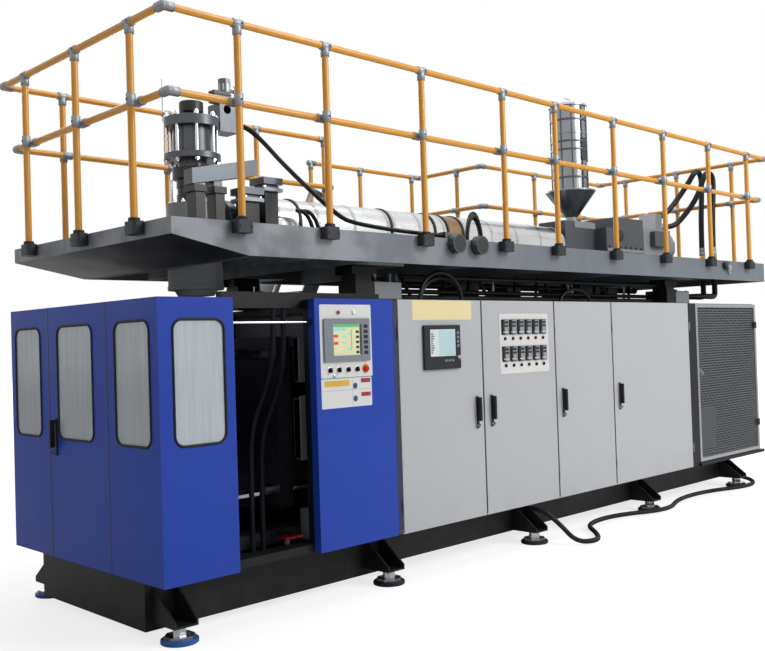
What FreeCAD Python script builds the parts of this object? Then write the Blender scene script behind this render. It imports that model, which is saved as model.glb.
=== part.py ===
"""Accumulator-head blow moulding machine with its raised extruder deck.

Machine coordinates, in millimetres: X runs from the clamp-end face to the motor end, Y from the
operator's front face to the back, and Z up from the floor. Every piece is moved at the end so that
the origin lies on the floor under the middle of the machine's box.
"""

import FreeCAD
import Part

import math
import os

V = FreeCAD.Vector
X_AXIS = V(1, 0, 0)
Y_AXIS = V(0, 1, 0)
Z_AXIS = V(0, 0, 1)

# ---- driving dimensions: enclosure ----
CABIN_BOTTOM = 340.0
CABIN_HEIGHT = 1542.0
CABIN_DEPTH = 1830.0
FRONT_DOOR_WIDTH = 490.0
BAY_WIDTH = 591.0
HMI_DOOR_WIDTH = 674.0
COLUMN_GAP = 40.0
CABINET_DOOR_WIDTHS = (862.0, 891.0, 824.0, 1330.0)
HYDRAULIC_LENGTH = 1438.0
HYDRAULIC_POST = 137.0
END_PANEL_NEAR = 565.0
END_DOOR_WIDTH = 722.0
PANEL_DEPTH = 30.0
SHEET = 3.0
SEAM = 6.0
FRAME_TUBE = 50.0
WINDOW_WIDTH = 330.0
END_WINDOW_WIDTH = 440.0
WINDOW_DROP = 122.0
WINDOW_HEIGHT = 685.0
WINDOW_CORNER = 60.0
PANE = 5.0
PANE_LAP = 22.0
HMI_SHELL_DEPTH = 60.0

# ---- driving dimensions: door rod, operator panel and controllers ----
ROD_D = 16.0
ROD_RISE = 1400.0
ROD_SET_BACK = 16.0
ROD_BLOCK = 14.0
HANGER_INSET = 48.0
HANGER_WIDTH = 16.0
HMI_DROP = 677.0
HMI_PLATE_INSET = 40.0
HMI_PLATE_WIDTH = 432.0
HMI_PLATE_HEIGHT = 640.0
HMI_PLATE = 3.0
BEZEL_DEPTH = 14.0
SWITCH_ROW = 235.0
SWITCH_STATIONS = (72.0, 146.0, 222.0, 298.0)
ESTOP_STATION = 372.0
ESTOP_TRAVEL = 6.0
SWITCH_D = 30.0
ESTOP_D = 44.0
ESTOP_STEM_D = 26.0
CONTROLLER_INSET = 236.0
CONTROLLER_DROP = 478.0
CONTROLLER_WIDTH = 368.0
CONTROLLER_HEIGHT = 304.0
CONTROLLER_DEPTH = 22.0
KNOB_D = 32.0
KNOB_HEIGHT = 14.0
ZONE_COLUMNS = 6
ZONE_ROWS = 2
CABINET_WALL = 3.0
SEAL_GAP = 0.5
MESH_FRAME = 34.0
MESH_COLUMNS = 9
MESH_ROWS = 1

# ---- driving dimensions: base and feet ----
BEAM_BOTTOM = 50.0
BEAM_SET_BACK = 290.0
BEAM_FLANGE = 110.0
BEAM_WEB = 12.0
BEAM_PLATE = 14.0
HEAVY_BEAM_LENGTH = 2030.0
LIGHT_BEAM_RISE = 40.0
BASE_END = 6990.0
CROSS_BEAM = 100.0
FOOT_STATIONS = (171.0, 1782.0, 3384.0, 5120.0, 6850.0)
FOOT_REACH = 140.0
FOOT_RADIUS = 105.0
PAD_HEIGHT = 26.0
CAP_HEIGHT = 16.0
STUD_D = 24.0
OUTRIGGER = 12.0
OUTRIGGER_LEVEL = 92.0
OUTRIGGER_WIDTH = 150.0
RIB_DROP = 40.0
RIB_TIP = 22.0
BASE_START = 50.0

# ---- driving dimensions: deck and guard rail ----
DECK_GAP = 233.0
DECK_LEFT = 63.0
DECK_LENGTH = 7187.0
DECK_OVERHANG = 60.0
FASCIA = 190.0
TIP_FASCIA = 92.0
TIP_TAPER = 500.0
DECK_PLATE = 8.0
DECK_WALL = 12.0
LANDING_LEFT = 2950.0
LANDING_LENGTH = 2066.0
LANDING_GATE = 530.0
LANDING_DEPTH = 890.0
LANDING_FASCIA = 120.0
RAIL_HEIGHT = 1105.0
MID_RAIL_HEIGHT = 675.0
TUBE_D = 42.4
RAIL_OFFSET = 34.0
FIRST_POST = 437.0
FRONT_BAYS = (650.0, 849.0, 863.0, 651.0, 832.0, 823.0, 853.0, 824.0)
BACK_BAYS = (838.0, 856.0)
BACK_GATE = 740.0
LEFT_POSTS = (318.0, 963.0, 1650.0)
RIGHT_POSTS = (335.0, 979.0, 1634.0)
CLAMP_SIZE = 56.0
CROSS_GAP = 14.0
SOCKET_WIDTH = 116.0
SOCKET_HEIGHT = 96.0
SOCKET_RISE = 24.0
CUP_HEIGHT = 36.0
TUBE_SIDES = 8

# ---- driving dimensions: access stair ----
STAIR_WIDTH = 680.0
STAIR_SLOPE = 62.0
STAIR_CLEARANCE = 0.8
STAIR_TREADS = 9
TREAD_DEPTH = 200.0
STRINGER = 150.0
HANDRAIL_RISE = 700.0
HANDRAIL_TOP = 680.0

# ---- driving dimensions: platform lift ----
LIFT_TRAVEL = 100.0
LIFT_STATIONS = (1680.0, 5720.0)
LIFT_INSET = 260.0
LIFT_POST = 150.0
JACK_LENGTH = 260.0
JACK_SCREW_D = 50.0
JACK_WIDTH = 170.0
JACK_INSET = 75.0
SLEEVE_GRIP = 30.0
SLEEVE_WALL = 10.0
LIFT_CLEARANCE = 1.0

# ---- driving dimensions: clamp unit ----
HEAD_X = 850.0
PLATEN_WIDTH = 930.0
PLATEN_BOTTOM = 560.0
PLATEN_HEIGHT = 1100.0
PLATEN_THICK = 110.0
MOULD_OPENING = 570.0
TIE_BAR_D = 70.0
TIE_INSET = 110.0
TIE_NUT = 30.0
CLAMP_END = 60.0
CLAMP_FRONT_X = 130.0
CLAMP_REAR_X = 1690.0
BUSH_CLEARANCE = 0.5
BED_HEIGHT = 90.0
CYLINDER_D = 200.0
CYLINDER_LENGTH = 360.0
CYLINDER_ROD_D = 90.0

# ---- driving dimensions: extruder ----
BARREL_AXIS = 170.0
BARREL_D = 150.0
SCREW_D = 90.0
SCREW_JOURNAL = 60.0
COVER_RADIUS = 165.0
COVER_THICK = 3.0
COVER_LENGTHS = (1110.0, 630.0, 190.0, 1450.0)
COVER_GAP = 10.0
COVER_START = 355.0
COVER_FLATS = 10
GEARBOX_LENGTH = 1180.0
GEARBOX_WIDTH = 560.0
GEARBOX_HEIGHT = 455.0
FEED_LENGTH = 500.0
FEED_WIDTH = 300.0
FEED_DROP = 60.0
MOTOR_D = 400.0
MOTOR_LENGTH = 820.0
HOPPER_X = 5180.0
CONE_TOP_D = 470.0
CONE_HEIGHT = 240.0
LOADER_D = 330.0
HOPPER_WALL = 4.0
HOPPER_THROAT = 110.0

# ---- driving dimensions: accumulator head ----
POT_D = 356.0
POT_DROP = 135.0
HEAD_CYLINDER_D = 300.0
HEAD_FLANGE_D = 370.0
TIE_ROD_D = 22.0
TIE_RODS = 8
HEAD_STROKE = 110.0
HEAD_CYLINDER_RISE = 440.0
CORE_ROD_D = 60.0

# ---- driving dimensions: fittings ----
HANDLE_HEIGHT = 170.0
HANDLE_WIDTH = 26.0
HANDLE_STAND = 34.0
HANDLE_LEVEL = 680.0
HANDLE_INSET = 82.0
ESCUTCHEON = 8.0
RUNNING_GAP = 0.3
CONDUIT_D = 40.0
RAIL_HOSE_D = 58.0
HOSE_D = 34.0
CABLE_D = 22.0
HOSE_ROWS = (560.0, 430.0)
HOSE_INSET = 130.0
HOSE_FITTING_HEIGHT = 145.0
HOSE_ELBOW_REACH = 120.0
HOSE_ELBOW_DROP = 130.0
BULKHEAD_START = 300.0
BULKHEAD_LENGTH = 100.0
BULKHEAD_HEIGHT = 150.0
MANIFOLD_START = 490.0
MANIFOLD_LENGTH = 140.0
MANIFOLD_WIDTH = 190.0
MANIFOLD_HEIGHT = 145.0
PORT_LENGTH = 70.0
TOP_BEAM = 42.0
GLAND_X = 2240.0
GLAND_WIDTH = 70.0
CONNECTOR_D = 130.0

# ---- flats on round pieces ----
BAR_SIDES = 10
TURNED_SIDES = 12
CORD_SIDES = 4

# ---- stations worked out from the driving dimensions ----
CABIN_TOP = CABIN_BOTTOM + CABIN_HEIGHT
DECK_TOP = CABIN_TOP + DECK_GAP + FASCIA
BAY_LEFT = FRONT_DOOR_WIDTH
BAY_RIGHT = BAY_LEFT + BAY_WIDTH
HMI_RIGHT = BAY_RIGHT + HMI_DOOR_WIDTH
CABINET_LEFT = HMI_RIGHT + COLUMN_GAP
CABINET_RIGHT = CABINET_LEFT + sum(CABINET_DOOR_WIDTHS)
HYDRAULIC_RIGHT = CABINET_RIGHT + HYDRAULIC_LENGTH
END_PANEL_FAR = CABIN_DEPTH - END_PANEL_NEAR - END_DOOR_WIDTH
MIDDLE_Y = CABIN_DEPTH / 2
DECK_RIGHT = DECK_LEFT + DECK_LENGTH
DECK_FRONT = -DECK_OVERHANG
DECK_BACK = CABIN_DEPTH + DECK_OVERHANG
DECK_UNDER = DECK_TOP - FASCIA
LANDING_RIGHT = LANDING_LEFT + LANDING_LENGTH
LANDING_BACK = DECK_BACK + LANDING_DEPTH
SOCKET_DEPTH = 2 * RAIL_OFFSET
HANDLE_REACH = HANDLE_STAND + 12.0
MACHINE_LEFT = -HANDLE_REACH
SLEEVE_HEIGHT = LIFT_TRAVEL + SLEEVE_GRIP
MACHINE_RIGHT = DECK_RIGHT + SOCKET_DEPTH
MACHINE_FRONT = DECK_FRONT - SOCKET_DEPTH
MACHINE_BACK = LANDING_BACK + SOCKET_DEPTH
GEARBOX_X = HOPPER_X - 330.0
HYDRAULIC_LEFT = CABINET_RIGHT + SEAM / 2
ORIGIN = V((MACHINE_LEFT + MACHINE_RIGHT) / 2, (MACHINE_FRONT + MACHINE_BACK) / 2, 0)
ROD_LEVEL = CABIN_BOTTOM + ROD_RISE
ROD_Y = PANEL_DEPTH + ROD_SET_BACK
HMI_Z0 = CABIN_TOP - HMI_DROP
HMI_LEFT = BAY_RIGHT + HMI_PLATE_INSET
CONTROLLER_X = CABINET_LEFT + CONTROLLER_INSET
CONTROLLER_Z = CABIN_TOP - CONTROLLER_DROP
FLOOR_LIE = CONDUIT_D / 2 / math.cos(math.pi / 4) + 1


# ---- shapes ----
def box(x0, x1, y0, y1, z0, z1):
    """Block between two corners."""
    return Part.makeBox(x1 - x0, y1 - y0, z1 - z0, V(x0, y0, z0))


def prism(start, end, across, sides=BAR_SIDES):
    """Bar with a regular outline between two points; a round bar gets enough flats to stay light."""
    axis = V(*end) - V(*start)
    radius = across / 2 / math.cos(math.pi / sides)
    side_on = X_AXIS if abs(axis.x) < 0.5 * axis.Length else Y_AXIS
    first = axis.cross(side_on).normalize() * radius
    corners = []
    for step in range(sides + 1):
        turn = FreeCAD.Rotation(axis, 360.0 / sides * (step + 0.5))
        corners.append(V(*start) + turn.multVec(first))
    return Part.Face(Part.makePolygon(corners)).extrude(axis)


def turned(profile, centre, axis=Z_AXIS, sides=TURNED_SIDES):
    """Turned piece: a closed profile of (radius, height) points carried round the axis in flats."""
    half_turn = FreeCAD.Rotation(Z_AXIS, 180.0 / sides)
    spread = 1 / math.cos(math.pi / sides)
    ring = [V(radius * spread, 0, height) for radius, height in profile]
    sections = []
    for step in range(sides):
        spin = FreeCAD.Rotation(Z_AXIS, 360.0 / sides * step).multiply(half_turn)
        sections.append([spin.multVec(point) for point in ring])
    faces = []
    for here, after in zip(sections, sections[1:] + sections[:1]):
        for a, b in zip(range(len(ring)), list(range(1, len(ring))) + [0]):
            corners = [here[a], here[b], after[b], after[a]]
            corners = [p for i, p in enumerate(corners) if (p - corners[i - 1]).Length > 1e-6]
            if len(corners) > 2:
                faces.append(Part.Face(Part.makePolygon(corners + corners[:1])))
    solid = Part.Solid(Part.Shell(faces)).removeSplitter()
    if solid.Volume < 0:
        solid.reverse()
    solid.Placement = FreeCAD.Placement(V(*centre), FreeCAD.Rotation(Z_AXIS, axis))
    return solid


def plate(normal, a0, a1, b0, b1, c0, c1, corner):
    """Rounded plate. normal "y" takes a as X and "x" takes a as Y; b is Z and c runs along the normal."""
    place = (lambda a, b: V(a, c0, b)) if normal == "y" else (lambda a, b: V(c0, a, b))
    centres = ((a1 - corner, b1 - corner), (a0 + corner, b1 - corner),
               (a0 + corner, b0 + corner), (a1 - corner, b0 + corner))
    edges = []
    last = None
    for quarter, (a, b) in enumerate(centres):
        angles = [math.radians(90 * quarter + part) for part in (0, 45, 90)]
        points = [place(a + corner * math.cos(t), b + corner * math.sin(t)) for t in angles]
        if last is not None:
            edges.append(Part.LineSegment(last, points[0]).toShape())
        edges.append(Part.Arc(*points).toShape())
        last = points[2]
    edges.append(Part.LineSegment(last, edges[0].Vertexes[0].Point).toShape())
    return Part.Face(Part.Wire(edges)).extrude((Y_AXIS if normal == "y" else X_AXIS) * (c1 - c0))


def fused(shapes):
    """One solid from pieces that are welded or cast together."""
    shapes = list(shapes)
    whole = shapes[0].multiFuse(shapes[1:]) if len(shapes) > 1 else shapes[0]
    return whole.removeSplitter()


def group(shapes):
    """Separate solids that share one node."""
    return Part.makeCompound([solid for shape in shapes for solid in shape.Solids])


def tray(normal, a0, a1, b0, b1, outer, inner):
    """Folded sheet-metal door or panel: a face sheet with its edges turned back."""
    wall = SHEET if inner > outer else -SHEET
    if normal == "y":
        body = box(a0, a1, min(outer, inner), max(outer, inner), b0, b1)
        low, high = sorted((outer + wall, inner + wall))
        return body.cut(box(a0 + SHEET, a1 - SHEET, low, high, b0 + SHEET, b1 - SHEET))
    body = box(min(outer, inner), max(outer, inner), a0, a1, b0, b1)
    low, high = sorted((outer + wall, inner + wall))
    return body.cut(box(low, high, a0 + SHEET, a1 - SHEET, b0 + SHEET, b1 - SHEET))


def bent_pipe(route, diameter, sides):
    """Pipe along straight runs joined by tangent arcs, with its path, section and tightest bend."""
    points = [V(*p) for p in route]
    edges = []
    start = points[0]
    tightest = 1e9
    for before, corner, after in zip(points, points[1:], points[2:]):
        arriving = (corner - before).normalize()
        leaving = (after - corner).normalize()
        half_turn = arriving.getAngle(leaving) / 2
        reach = 0.45 * min((corner - before).Length, (after - corner).Length)
        radius = reach / math.tan(half_turn)
        tightest = min(tightest, radius)
        first = corner - arriving * reach
        last = corner + leaving * reach
        inward = (leaving - arriving).normalize()
        middle = corner + inward * (radius / math.cos(half_turn) - radius)
        edges.append(Part.LineSegment(start, first).toShape())
        edges.append(Part.Arc(first, middle, last).toShape())
        start = last
    edges.append(Part.LineSegment(start, points[-1]).toShape())
    path = Part.Wire(edges)
    ahead = (points[1] - points[0]).normalize()
    section = prism(route[0], tuple(points[0] + ahead), diameter, sides)
    outline = [face for face in section.Faces if face.normalAt(0, 0).getAngle(-ahead) < 0.01][0]
    return path.makePipeShell([outline.OuterWire], True, False), path, outline, tightest


def cord(name, route, diameter):
    """Hose or cable with a few flats. Prints its length and its tightest bend."""
    tube, path, outline, tightest = bent_pipe(route, diameter, CORD_SIDES)
    share = tube.Volume / (outline.Area * path.Length)
    print(f"{name}: length {path.Length:.0f}, tightest bend {tightest:.0f}, volume share {share:.4f}")
    return tube


# ---- base ----
def beam(x0, x1, z0, z1, y_web, side):
    """Channel along X whose web faces the outside; side is +1 where the flanges point to +Y."""
    y_back = y_web + side * BEAM_FLANGE
    y_web_in = y_web + side * BEAM_WEB
    y_low, y_high = sorted((y_web, y_back))
    w_low, w_high = sorted((y_web, y_web_in))
    return fused((box(x0, x1, w_low, w_high, z0, z1),
                  box(x0, x1, y_low, y_high, z0, z0 + BEAM_PLATE),
                  box(x0, x1, y_low, y_high, z1 - BEAM_PLATE, z1)))


def foot_places():
    """Centres of the levelling feet, front row then back row."""
    rows = (FOOT_REACH, CABIN_DEPTH - FOOT_REACH)
    return [(x, y) for y in rows for x in FOOT_STATIONS]


def make_base_frame():
    """Welded base: deep beams under the clamp, lighter ones under the cabinets, and the outriggers."""
    front, back = BEAM_SET_BACK, CABIN_DEPTH - BEAM_SET_BACK
    light_bottom = BEAM_BOTTOM + LIGHT_BEAM_RISE
    pieces = []
    for y_web, side in ((front, 1), (back, -1)):
        pieces.append(beam(BASE_START, HEAVY_BEAM_LENGTH, BEAM_BOTTOM, CABIN_BOTTOM, y_web, side))
        pieces.append(beam(HEAVY_BEAM_LENGTH, BASE_END, light_bottom, CABIN_BOTTOM, y_web, side))
    ends = ((BASE_START, BEAM_BOTTOM), (HEAVY_BEAM_LENGTH - BEAM_WEB, BEAM_BOTTOM),
            (BASE_END - BEAM_WEB, light_bottom))
    for x, z in ends:
        pieces.append(box(x, x + BEAM_WEB, front, back, z, CABIN_BOTTOM))
    for x in FOOT_STATIONS[1:4]:
        pieces.append(box(x - CROSS_BEAM / 2, x + CROSS_BEAM / 2, front + BEAM_WEB, back - BEAM_WEB,
                          light_bottom + BEAM_PLATE, CABIN_BOTTOM - BEAM_PLATE))
    for x in (CLAMP_FRONT_X, CLAMP_REAR_X - CROSS_BEAM):
        pieces.append(box(x, x + CROSS_BEAM, front + BEAM_WEB, back - BEAM_WEB, light_bottom, CABIN_BOTTOM))
    level = OUTRIGGER_LEVEL
    half = OUTRIGGER_WIDTH / 2
    for x, y in foot_places():
        inward = 1 if y < MIDDLE_Y else -1
        web = front if inward > 0 else back
        tip = y - inward * half
        y0, y1 = sorted((tip, web))
        pieces.append(box(x - half, x + half, y0, y1, level, level + OUTRIGGER))
        for edge in (x - half, x + half - OUTRIGGER):
            rib = Part.Face(Part.makePolygon([V(edge, web, level + OUTRIGGER),
                                              V(edge, web, CABIN_BOTTOM - RIB_DROP),
                                              V(edge, tip, level + OUTRIGGER + RIB_TIP),
                                              V(edge, tip, level + OUTRIGGER),
                                              V(edge, web, level + OUTRIGGER)]))
            pieces.append(rib.extrude(V(OUTRIGGER, 0, 0)))
    return fused(pieces)


def make_feet():
    """Levelling feet: rubber discs on the floor, and steel caps with the nuts under the outriggers."""
    pads = []
    studs = []
    shelf = OUTRIGGER_LEVEL
    cap_top = PAD_HEIGHT + CAP_HEIGHT
    for x, y in foot_places():
        pads.append(prism((x, y, 0), (x, y, PAD_HEIGHT), 2 * FOOT_RADIUS))
        cap = prism((x, y, PAD_HEIGHT), (x, y, cap_top), 1.5 * FOOT_RADIUS, 8)
        nut = prism((x, y, cap_top), (x, y, shelf), 1.6 * STUD_D, 6)
        studs.append(fused((cap, nut)))
    return group(pads), group(studs)


# ---- enclosure ----
def window_box(normal, centre, width, grow, c0, c1):
    """Rounded window outline grown by some amount on every side."""
    low = CABIN_TOP - WINDOW_DROP - WINDOW_HEIGHT
    return plate(normal, centre - width / 2 - grow, centre + width / 2 + grow,
                 low - grow, low + WINDOW_HEIGHT + grow, c0, c1, WINDOW_CORNER + grow)


def glazed(normal, a0, a1, width, outer, inner, centre):
    """Panel with its window hole, and the pane that sits behind it."""
    panel = tray(normal, a0, a1, CABIN_BOTTOM, CABIN_TOP, outer, inner)
    inward = 1 if inner > outer else -1
    back = outer + inward * SHEET
    low, high = sorted((outer - inward * 5, back + inward * 5))
    panel = panel.cut(window_box(normal, centre, width, 0, low, high))
    c0, c1 = sorted((back, back + inward * PANE))
    a0, a1 = centre - width / 2 - PANE_LAP, centre + width / 2 + PANE_LAP
    z0 = CABIN_TOP - WINDOW_DROP - WINDOW_HEIGHT - PANE_LAP
    z1 = z0 + WINDOW_HEIGHT + 2 * PANE_LAP
    pane = box(a0, a1, c0, c1, z0, z1) if normal == "y" else box(c0, c1, a0, a1, z0, z1)
    return panel, pane


def make_guard():
    """Fixed blue panels and their panes, on a frame of square tube that also carries the door rod."""
    half = SEAM / 2
    near = glazed("x", PANEL_DEPTH + SEAL_GAP, END_PANEL_NEAR - half, END_WINDOW_WIDTH * 0.84, 0, PANEL_DEPTH,
                  0.485 * END_PANEL_NEAR)
    far_start = END_PANEL_NEAR + END_DOOR_WIDTH
    far = glazed("x", far_start + half, CABIN_DEPTH, END_WINDOW_WIDTH * 0.82, 0, PANEL_DEPTH,
                 far_start + 0.54 * END_PANEL_FAR)
    back_panels = []
    for left, right in ((PANEL_DEPTH + half, HMI_RIGHT / 2 - half),
                        (HMI_RIGHT / 2 + half, HMI_RIGHT + COLUMN_GAP - half)):
        back_panels.append(tray("y", left, right, CABIN_BOTTOM, CABIN_TOP,
                                CABIN_DEPTH, CABIN_DEPTH - PANEL_DEPTH))
    panels = group([near[0], far[0]] + back_panels)
    panes = group([near[1], far[1]])

    t = FRAME_TUBE
    x_in = PANEL_DEPTH + SEAL_GAP
    y_in = HMI_SHELL_DEPTH + SEAL_GAP
    back = CABIN_DEPTH - PANEL_DEPTH - SEAL_GAP
    posts = [(x_in, y_in), (x_in, back - t), (BAY_RIGHT + 4, y_in), (HMI_RIGHT - t - 4, y_in + 60),
             (BAY_RIGHT + 4, back - t), (HMI_RIGHT - t - 4, back - t),
             (x_in, END_PANEL_NEAR - t - half), (x_in, far_start + half)]
    pieces = [box(x, x + t, y, y + t, CABIN_BOTTOM, CABIN_TOP - 4) for x, y in posts]
    for z in (CABIN_BOTTOM, CABIN_TOP - 4 - t):
        pieces.append(box(x_in, x_in + t, y_in, back, z, z + t))
        pieces.append(box(x_in, HMI_RIGHT - 4, back - t, back, z, z + t))
        pieces.append(box(HMI_RIGHT - t - 4, HMI_RIGHT - 4, y_in + 60, back, z, z + t))
    pieces.append(box(x_in, HMI_RIGHT - 4, y_in + 60, y_in + 60 + t, CABIN_TOP - 4 - t, CABIN_TOP - 4))
    pieces.append(box(x_in, HMI_RIGHT - 4, y_in, y_in + t + 60, CABIN_BOTTOM, CABIN_BOTTOM + t))
    pieces.append(box(BAY_LEFT, HMI_RIGHT - 4, y_in + 60, y_in + 60 + t, CABIN_TOP - 4, CABIN_TOP + TOP_BEAM))
    frame = fused(pieces)
    return panels, panes, frame


def make_door_rod():
    """Bright guide rod of the sliding door between its two end blocks on the guard frame."""
    left, right = PANEL_DEPTH + SEAL_GAP, BAY_RIGHT - ROD_BLOCK
    low, high = ROD_LEVEL - 20, ROD_LEVEL + 20
    bar = prism((left + ROD_BLOCK, ROD_Y, ROD_LEVEL), (right, ROD_Y, ROD_LEVEL), ROD_D)
    blocks = [box(x, x + ROD_BLOCK, ROD_Y - 13, PANEL_DEPTH + 40, low, high) for x in (left, right)]
    blocks.append(box(right, BAY_RIGHT + 6, PANEL_DEPTH + 36, PANEL_DEPTH + 60, low, high))
    return bar, blocks


def make_front_door():
    """Sliding operator door with its pane and the two hangers that run along the rod."""
    door, pane = glazed("y", 0, BAY_LEFT - SEAM / 2, WINDOW_WIDTH, 0, PANEL_DEPTH,
                        0.52 * FRONT_DOOR_WIDTH)
    rest = ROD_LEVEL + ROD_D / 2 + RUNNING_GAP
    hangers = [box(x, x + HANGER_WIDTH, SHEET, ROD_Y + ROD_D / 2, rest, rest + 30)
               for x in (HANGER_INSET, BAY_LEFT - HANGER_INSET)]
    return fused([door] + hangers), pane


def make_end_door():
    """Hinged door of the clamp end, with its pane."""
    half = SEAM / 2
    start, stop = END_PANEL_NEAR + half, END_PANEL_NEAR + END_DOOR_WIDTH - half
    return glazed("x", start, stop, END_WINDOW_WIDTH, 0, PANEL_DEPTH, start + 0.52 * END_DOOR_WIDTH)


def make_handle(normal, a, face):
    """Swing lever with its pivot boss; the escutcheon is part of the door."""
    low = CABIN_BOTTOM + HANDLE_LEVEL
    top = low + HANDLE_HEIGHT
    out = face - HANDLE_STAND
    w = HANDLE_WIDTH / 2
    seat = face - ESCUTCHEON - RUNNING_GAP
    if normal == "y":
        lever = box(a - w, a + w, out - 12, out, low, top)
        boss = prism((a, seat, top - w), (a, out, top - w), HANDLE_WIDTH * 0.8, 8)
    else:
        lever = box(out - 12, out, a - w, a + w, low, top)
        boss = prism((seat, a, top - w), (out, a, top - w), HANDLE_WIDTH * 0.8, 8)
    return fused((lever, boss))


def escutcheon(normal, a, face):
    """Backing plate of a swing handle with the key barrel below it."""
    low = CABIN_BOTTOM + HANDLE_LEVEL
    top = low + HANDLE_HEIGHT
    w = HANDLE_WIDTH / 2 + 4
    key = low - 30
    seat = face - ESCUTCHEON
    if normal == "y":
        back = box(a - w, a + w, seat, face, low - 50, top + 6)
        barrel = prism((a, seat, key), (a, seat - 16, key), 22, 8)
    else:
        back = box(seat, face, a - w, a + w, low - 50, top + 6)
        barrel = prism((seat, a, key), (seat - 16, a, key), 22, 8)
    return fused((back, barrel))


def make_hmi_door():
    """Operator door: a shallow folded shell, hinged at its right edge."""
    half = SEAM / 2
    shell = tray("y", BAY_RIGHT + half, HMI_RIGHT - half, CABIN_BOTTOM, CABIN_TOP, 0, HMI_SHELL_DEPTH)
    return shell.cut(estop_hole())


def make_operator_panel():
    """White panel plate with the screen bezel, its glass, two lamps and the switch collars."""
    face = -HMI_PLATE
    backing = box(HMI_LEFT, HMI_LEFT + HMI_PLATE_WIDTH, face, 0, HMI_Z0, HMI_Z0 + HMI_PLATE_HEIGHT)
    z0 = HMI_Z0 + 285
    bezel = box(HMI_LEFT + 24, HMI_LEFT + HMI_PLATE_WIDTH - 24, face - BEZEL_DEPTH, face, z0, z0 + 268)
    opening = box(HMI_LEFT + 100, HMI_LEFT + 336, face - BEZEL_DEPTH, face - 6, z0 + 40, z0 + 235)
    glass = box(HMI_LEFT + 100, HMI_LEFT + 336, face - 9, face - 6, z0 + 40, z0 + 235)
    lamps = []
    for x in (HMI_LEFT + 150, HMI_LEFT + 284):
        z = HMI_Z0 + 592
        lamps.append(prism((x, face, z), (x, face - 14, z), 28, 12))
    plate_and_bezel = fused((backing.cut(estop_hole()), bezel.cut(opening)))
    return group([plate_and_bezel, glass] + lamps)


def make_selector(station):
    """Two-position selector switch: a round knob with its pointer bar."""
    x = HMI_LEFT + station
    z = HMI_Z0 + SWITCH_ROW
    face = -HMI_PLATE
    knob = prism((x, face - RUNNING_GAP, z), (x, face - 10, z), SWITCH_D, 8)
    bar = box(x - 4, x + 4, face - 24, face - 10, z - SWITCH_D / 2, z + SWITCH_D / 2)
    return fused((knob, bar))


def make_estop():
    """Mushroom-head emergency stop button on its stem."""
    x = HMI_LEFT + ESTOP_STATION
    z = HMI_Z0 + SWITCH_ROW
    face = -HMI_PLATE - RUNNING_GAP - ESTOP_TRAVEL
    stem = prism((x, -HMI_PLATE / 2, z), (x, face, z), ESTOP_STEM_D, 8)
    head = prism((x, face, z), (x, face - 14, z), ESTOP_D)
    return fused((stem, head))


def estop_hole():
    """Hole for the button's stem through the panel plate and the door's sheet."""
    x = HMI_LEFT + ESTOP_STATION
    z = HMI_Z0 + SWITCH_ROW
    return prism((x, -2 * HMI_PLATE, z), (x, 2 * SHEET, z), ESTOP_STEM_D + 2 * RUNNING_GAP, 8)


def door_seams():
    """Left and right stations of each cabinet door."""
    left = CABINET_LEFT
    spans = []
    for width in CABINET_DOOR_WIDTHS:
        spans.append((left, left + width))
        left += width
    return spans


def make_cabinet_shell():
    """Carcass of the electrical cabinets, open at the front behind each door."""
    half = SEAM / 2
    y0 = PANEL_DEPTH + SEAL_GAP
    carcass = box(CABINET_LEFT + half, CABINET_RIGHT - half, y0, CABIN_DEPTH, CABIN_BOTTOM, CABIN_TOP)
    for left, right in door_seams():
        carcass = carcass.cut(box(left + 25, right - 25, y0, CABIN_DEPTH - CABINET_WALL,
                                  CABIN_BOTTOM + 30, CABIN_TOP - CABINET_WALL))
    return carcass


def make_cabinet_door(index):
    """One grey folded door with the escutcheon of its handle."""
    half = SEAM / 2
    left, right = door_seams()[index]
    door = tray("y", left + half, right - half, CABIN_BOTTOM, CABIN_TOP, 0, PANEL_DEPTH)
    return fused((door, escutcheon("y", handle_station(index), 0)))


def handle_station(index):
    """X of a door's handle: the first door opens from the right, the others from the left."""
    left, right = door_seams()[index]
    return right - HANDLE_INSET if index == 0 else left + HANDLE_INSET


def make_controller():
    """Parison programming controller: a dark bezel around its screen."""
    x, z = CONTROLLER_X, CONTROLLER_Z
    body = box(x, x + CONTROLLER_WIDTH, -CONTROLLER_DEPTH, 0, z, z + CONTROLLER_HEIGHT)
    body = body.cut(box(x + 58, x + 318, -CONTROLLER_DEPTH, 6 - CONTROLLER_DEPTH, z + 90, z + 275))
    glass = box(x + 58, x + 318, 3 - CONTROLLER_DEPTH, 6 - CONTROLLER_DEPTH, z + 90, z + 275)
    return group([body, glass])


def make_controller_knob():
    """Rotary knob at the controller's corner."""
    x = CONTROLLER_X + CONTROLLER_WIDTH - 28
    z = CONTROLLER_Z + 78
    start = -CONTROLLER_DEPTH - RUNNING_GAP
    return prism((x, start, z), (x, start - KNOB_HEIGHT, z), KNOB_D, 12)


def make_temperature_panel():
    """Zone temperature controllers in two rows on their plate."""
    left = door_seams()[1][0] + 200.0
    width, height = 600.0, 446.0
    z0 = CABIN_BOTTOM + 1000.0
    pieces = [box(left, left + width, -3, 0, z0, z0 + height)]
    pitch = (width - 40) / ZONE_COLUMNS
    for row in range(ZONE_ROWS):
        z = z0 + height - 155 - row * 200
        for column in range(ZONE_COLUMNS):
            x = left + 24 + column * pitch
            pieces.append(box(x, x + 76, -14, -3, z, z + 112))
    return fused(pieces)


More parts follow.
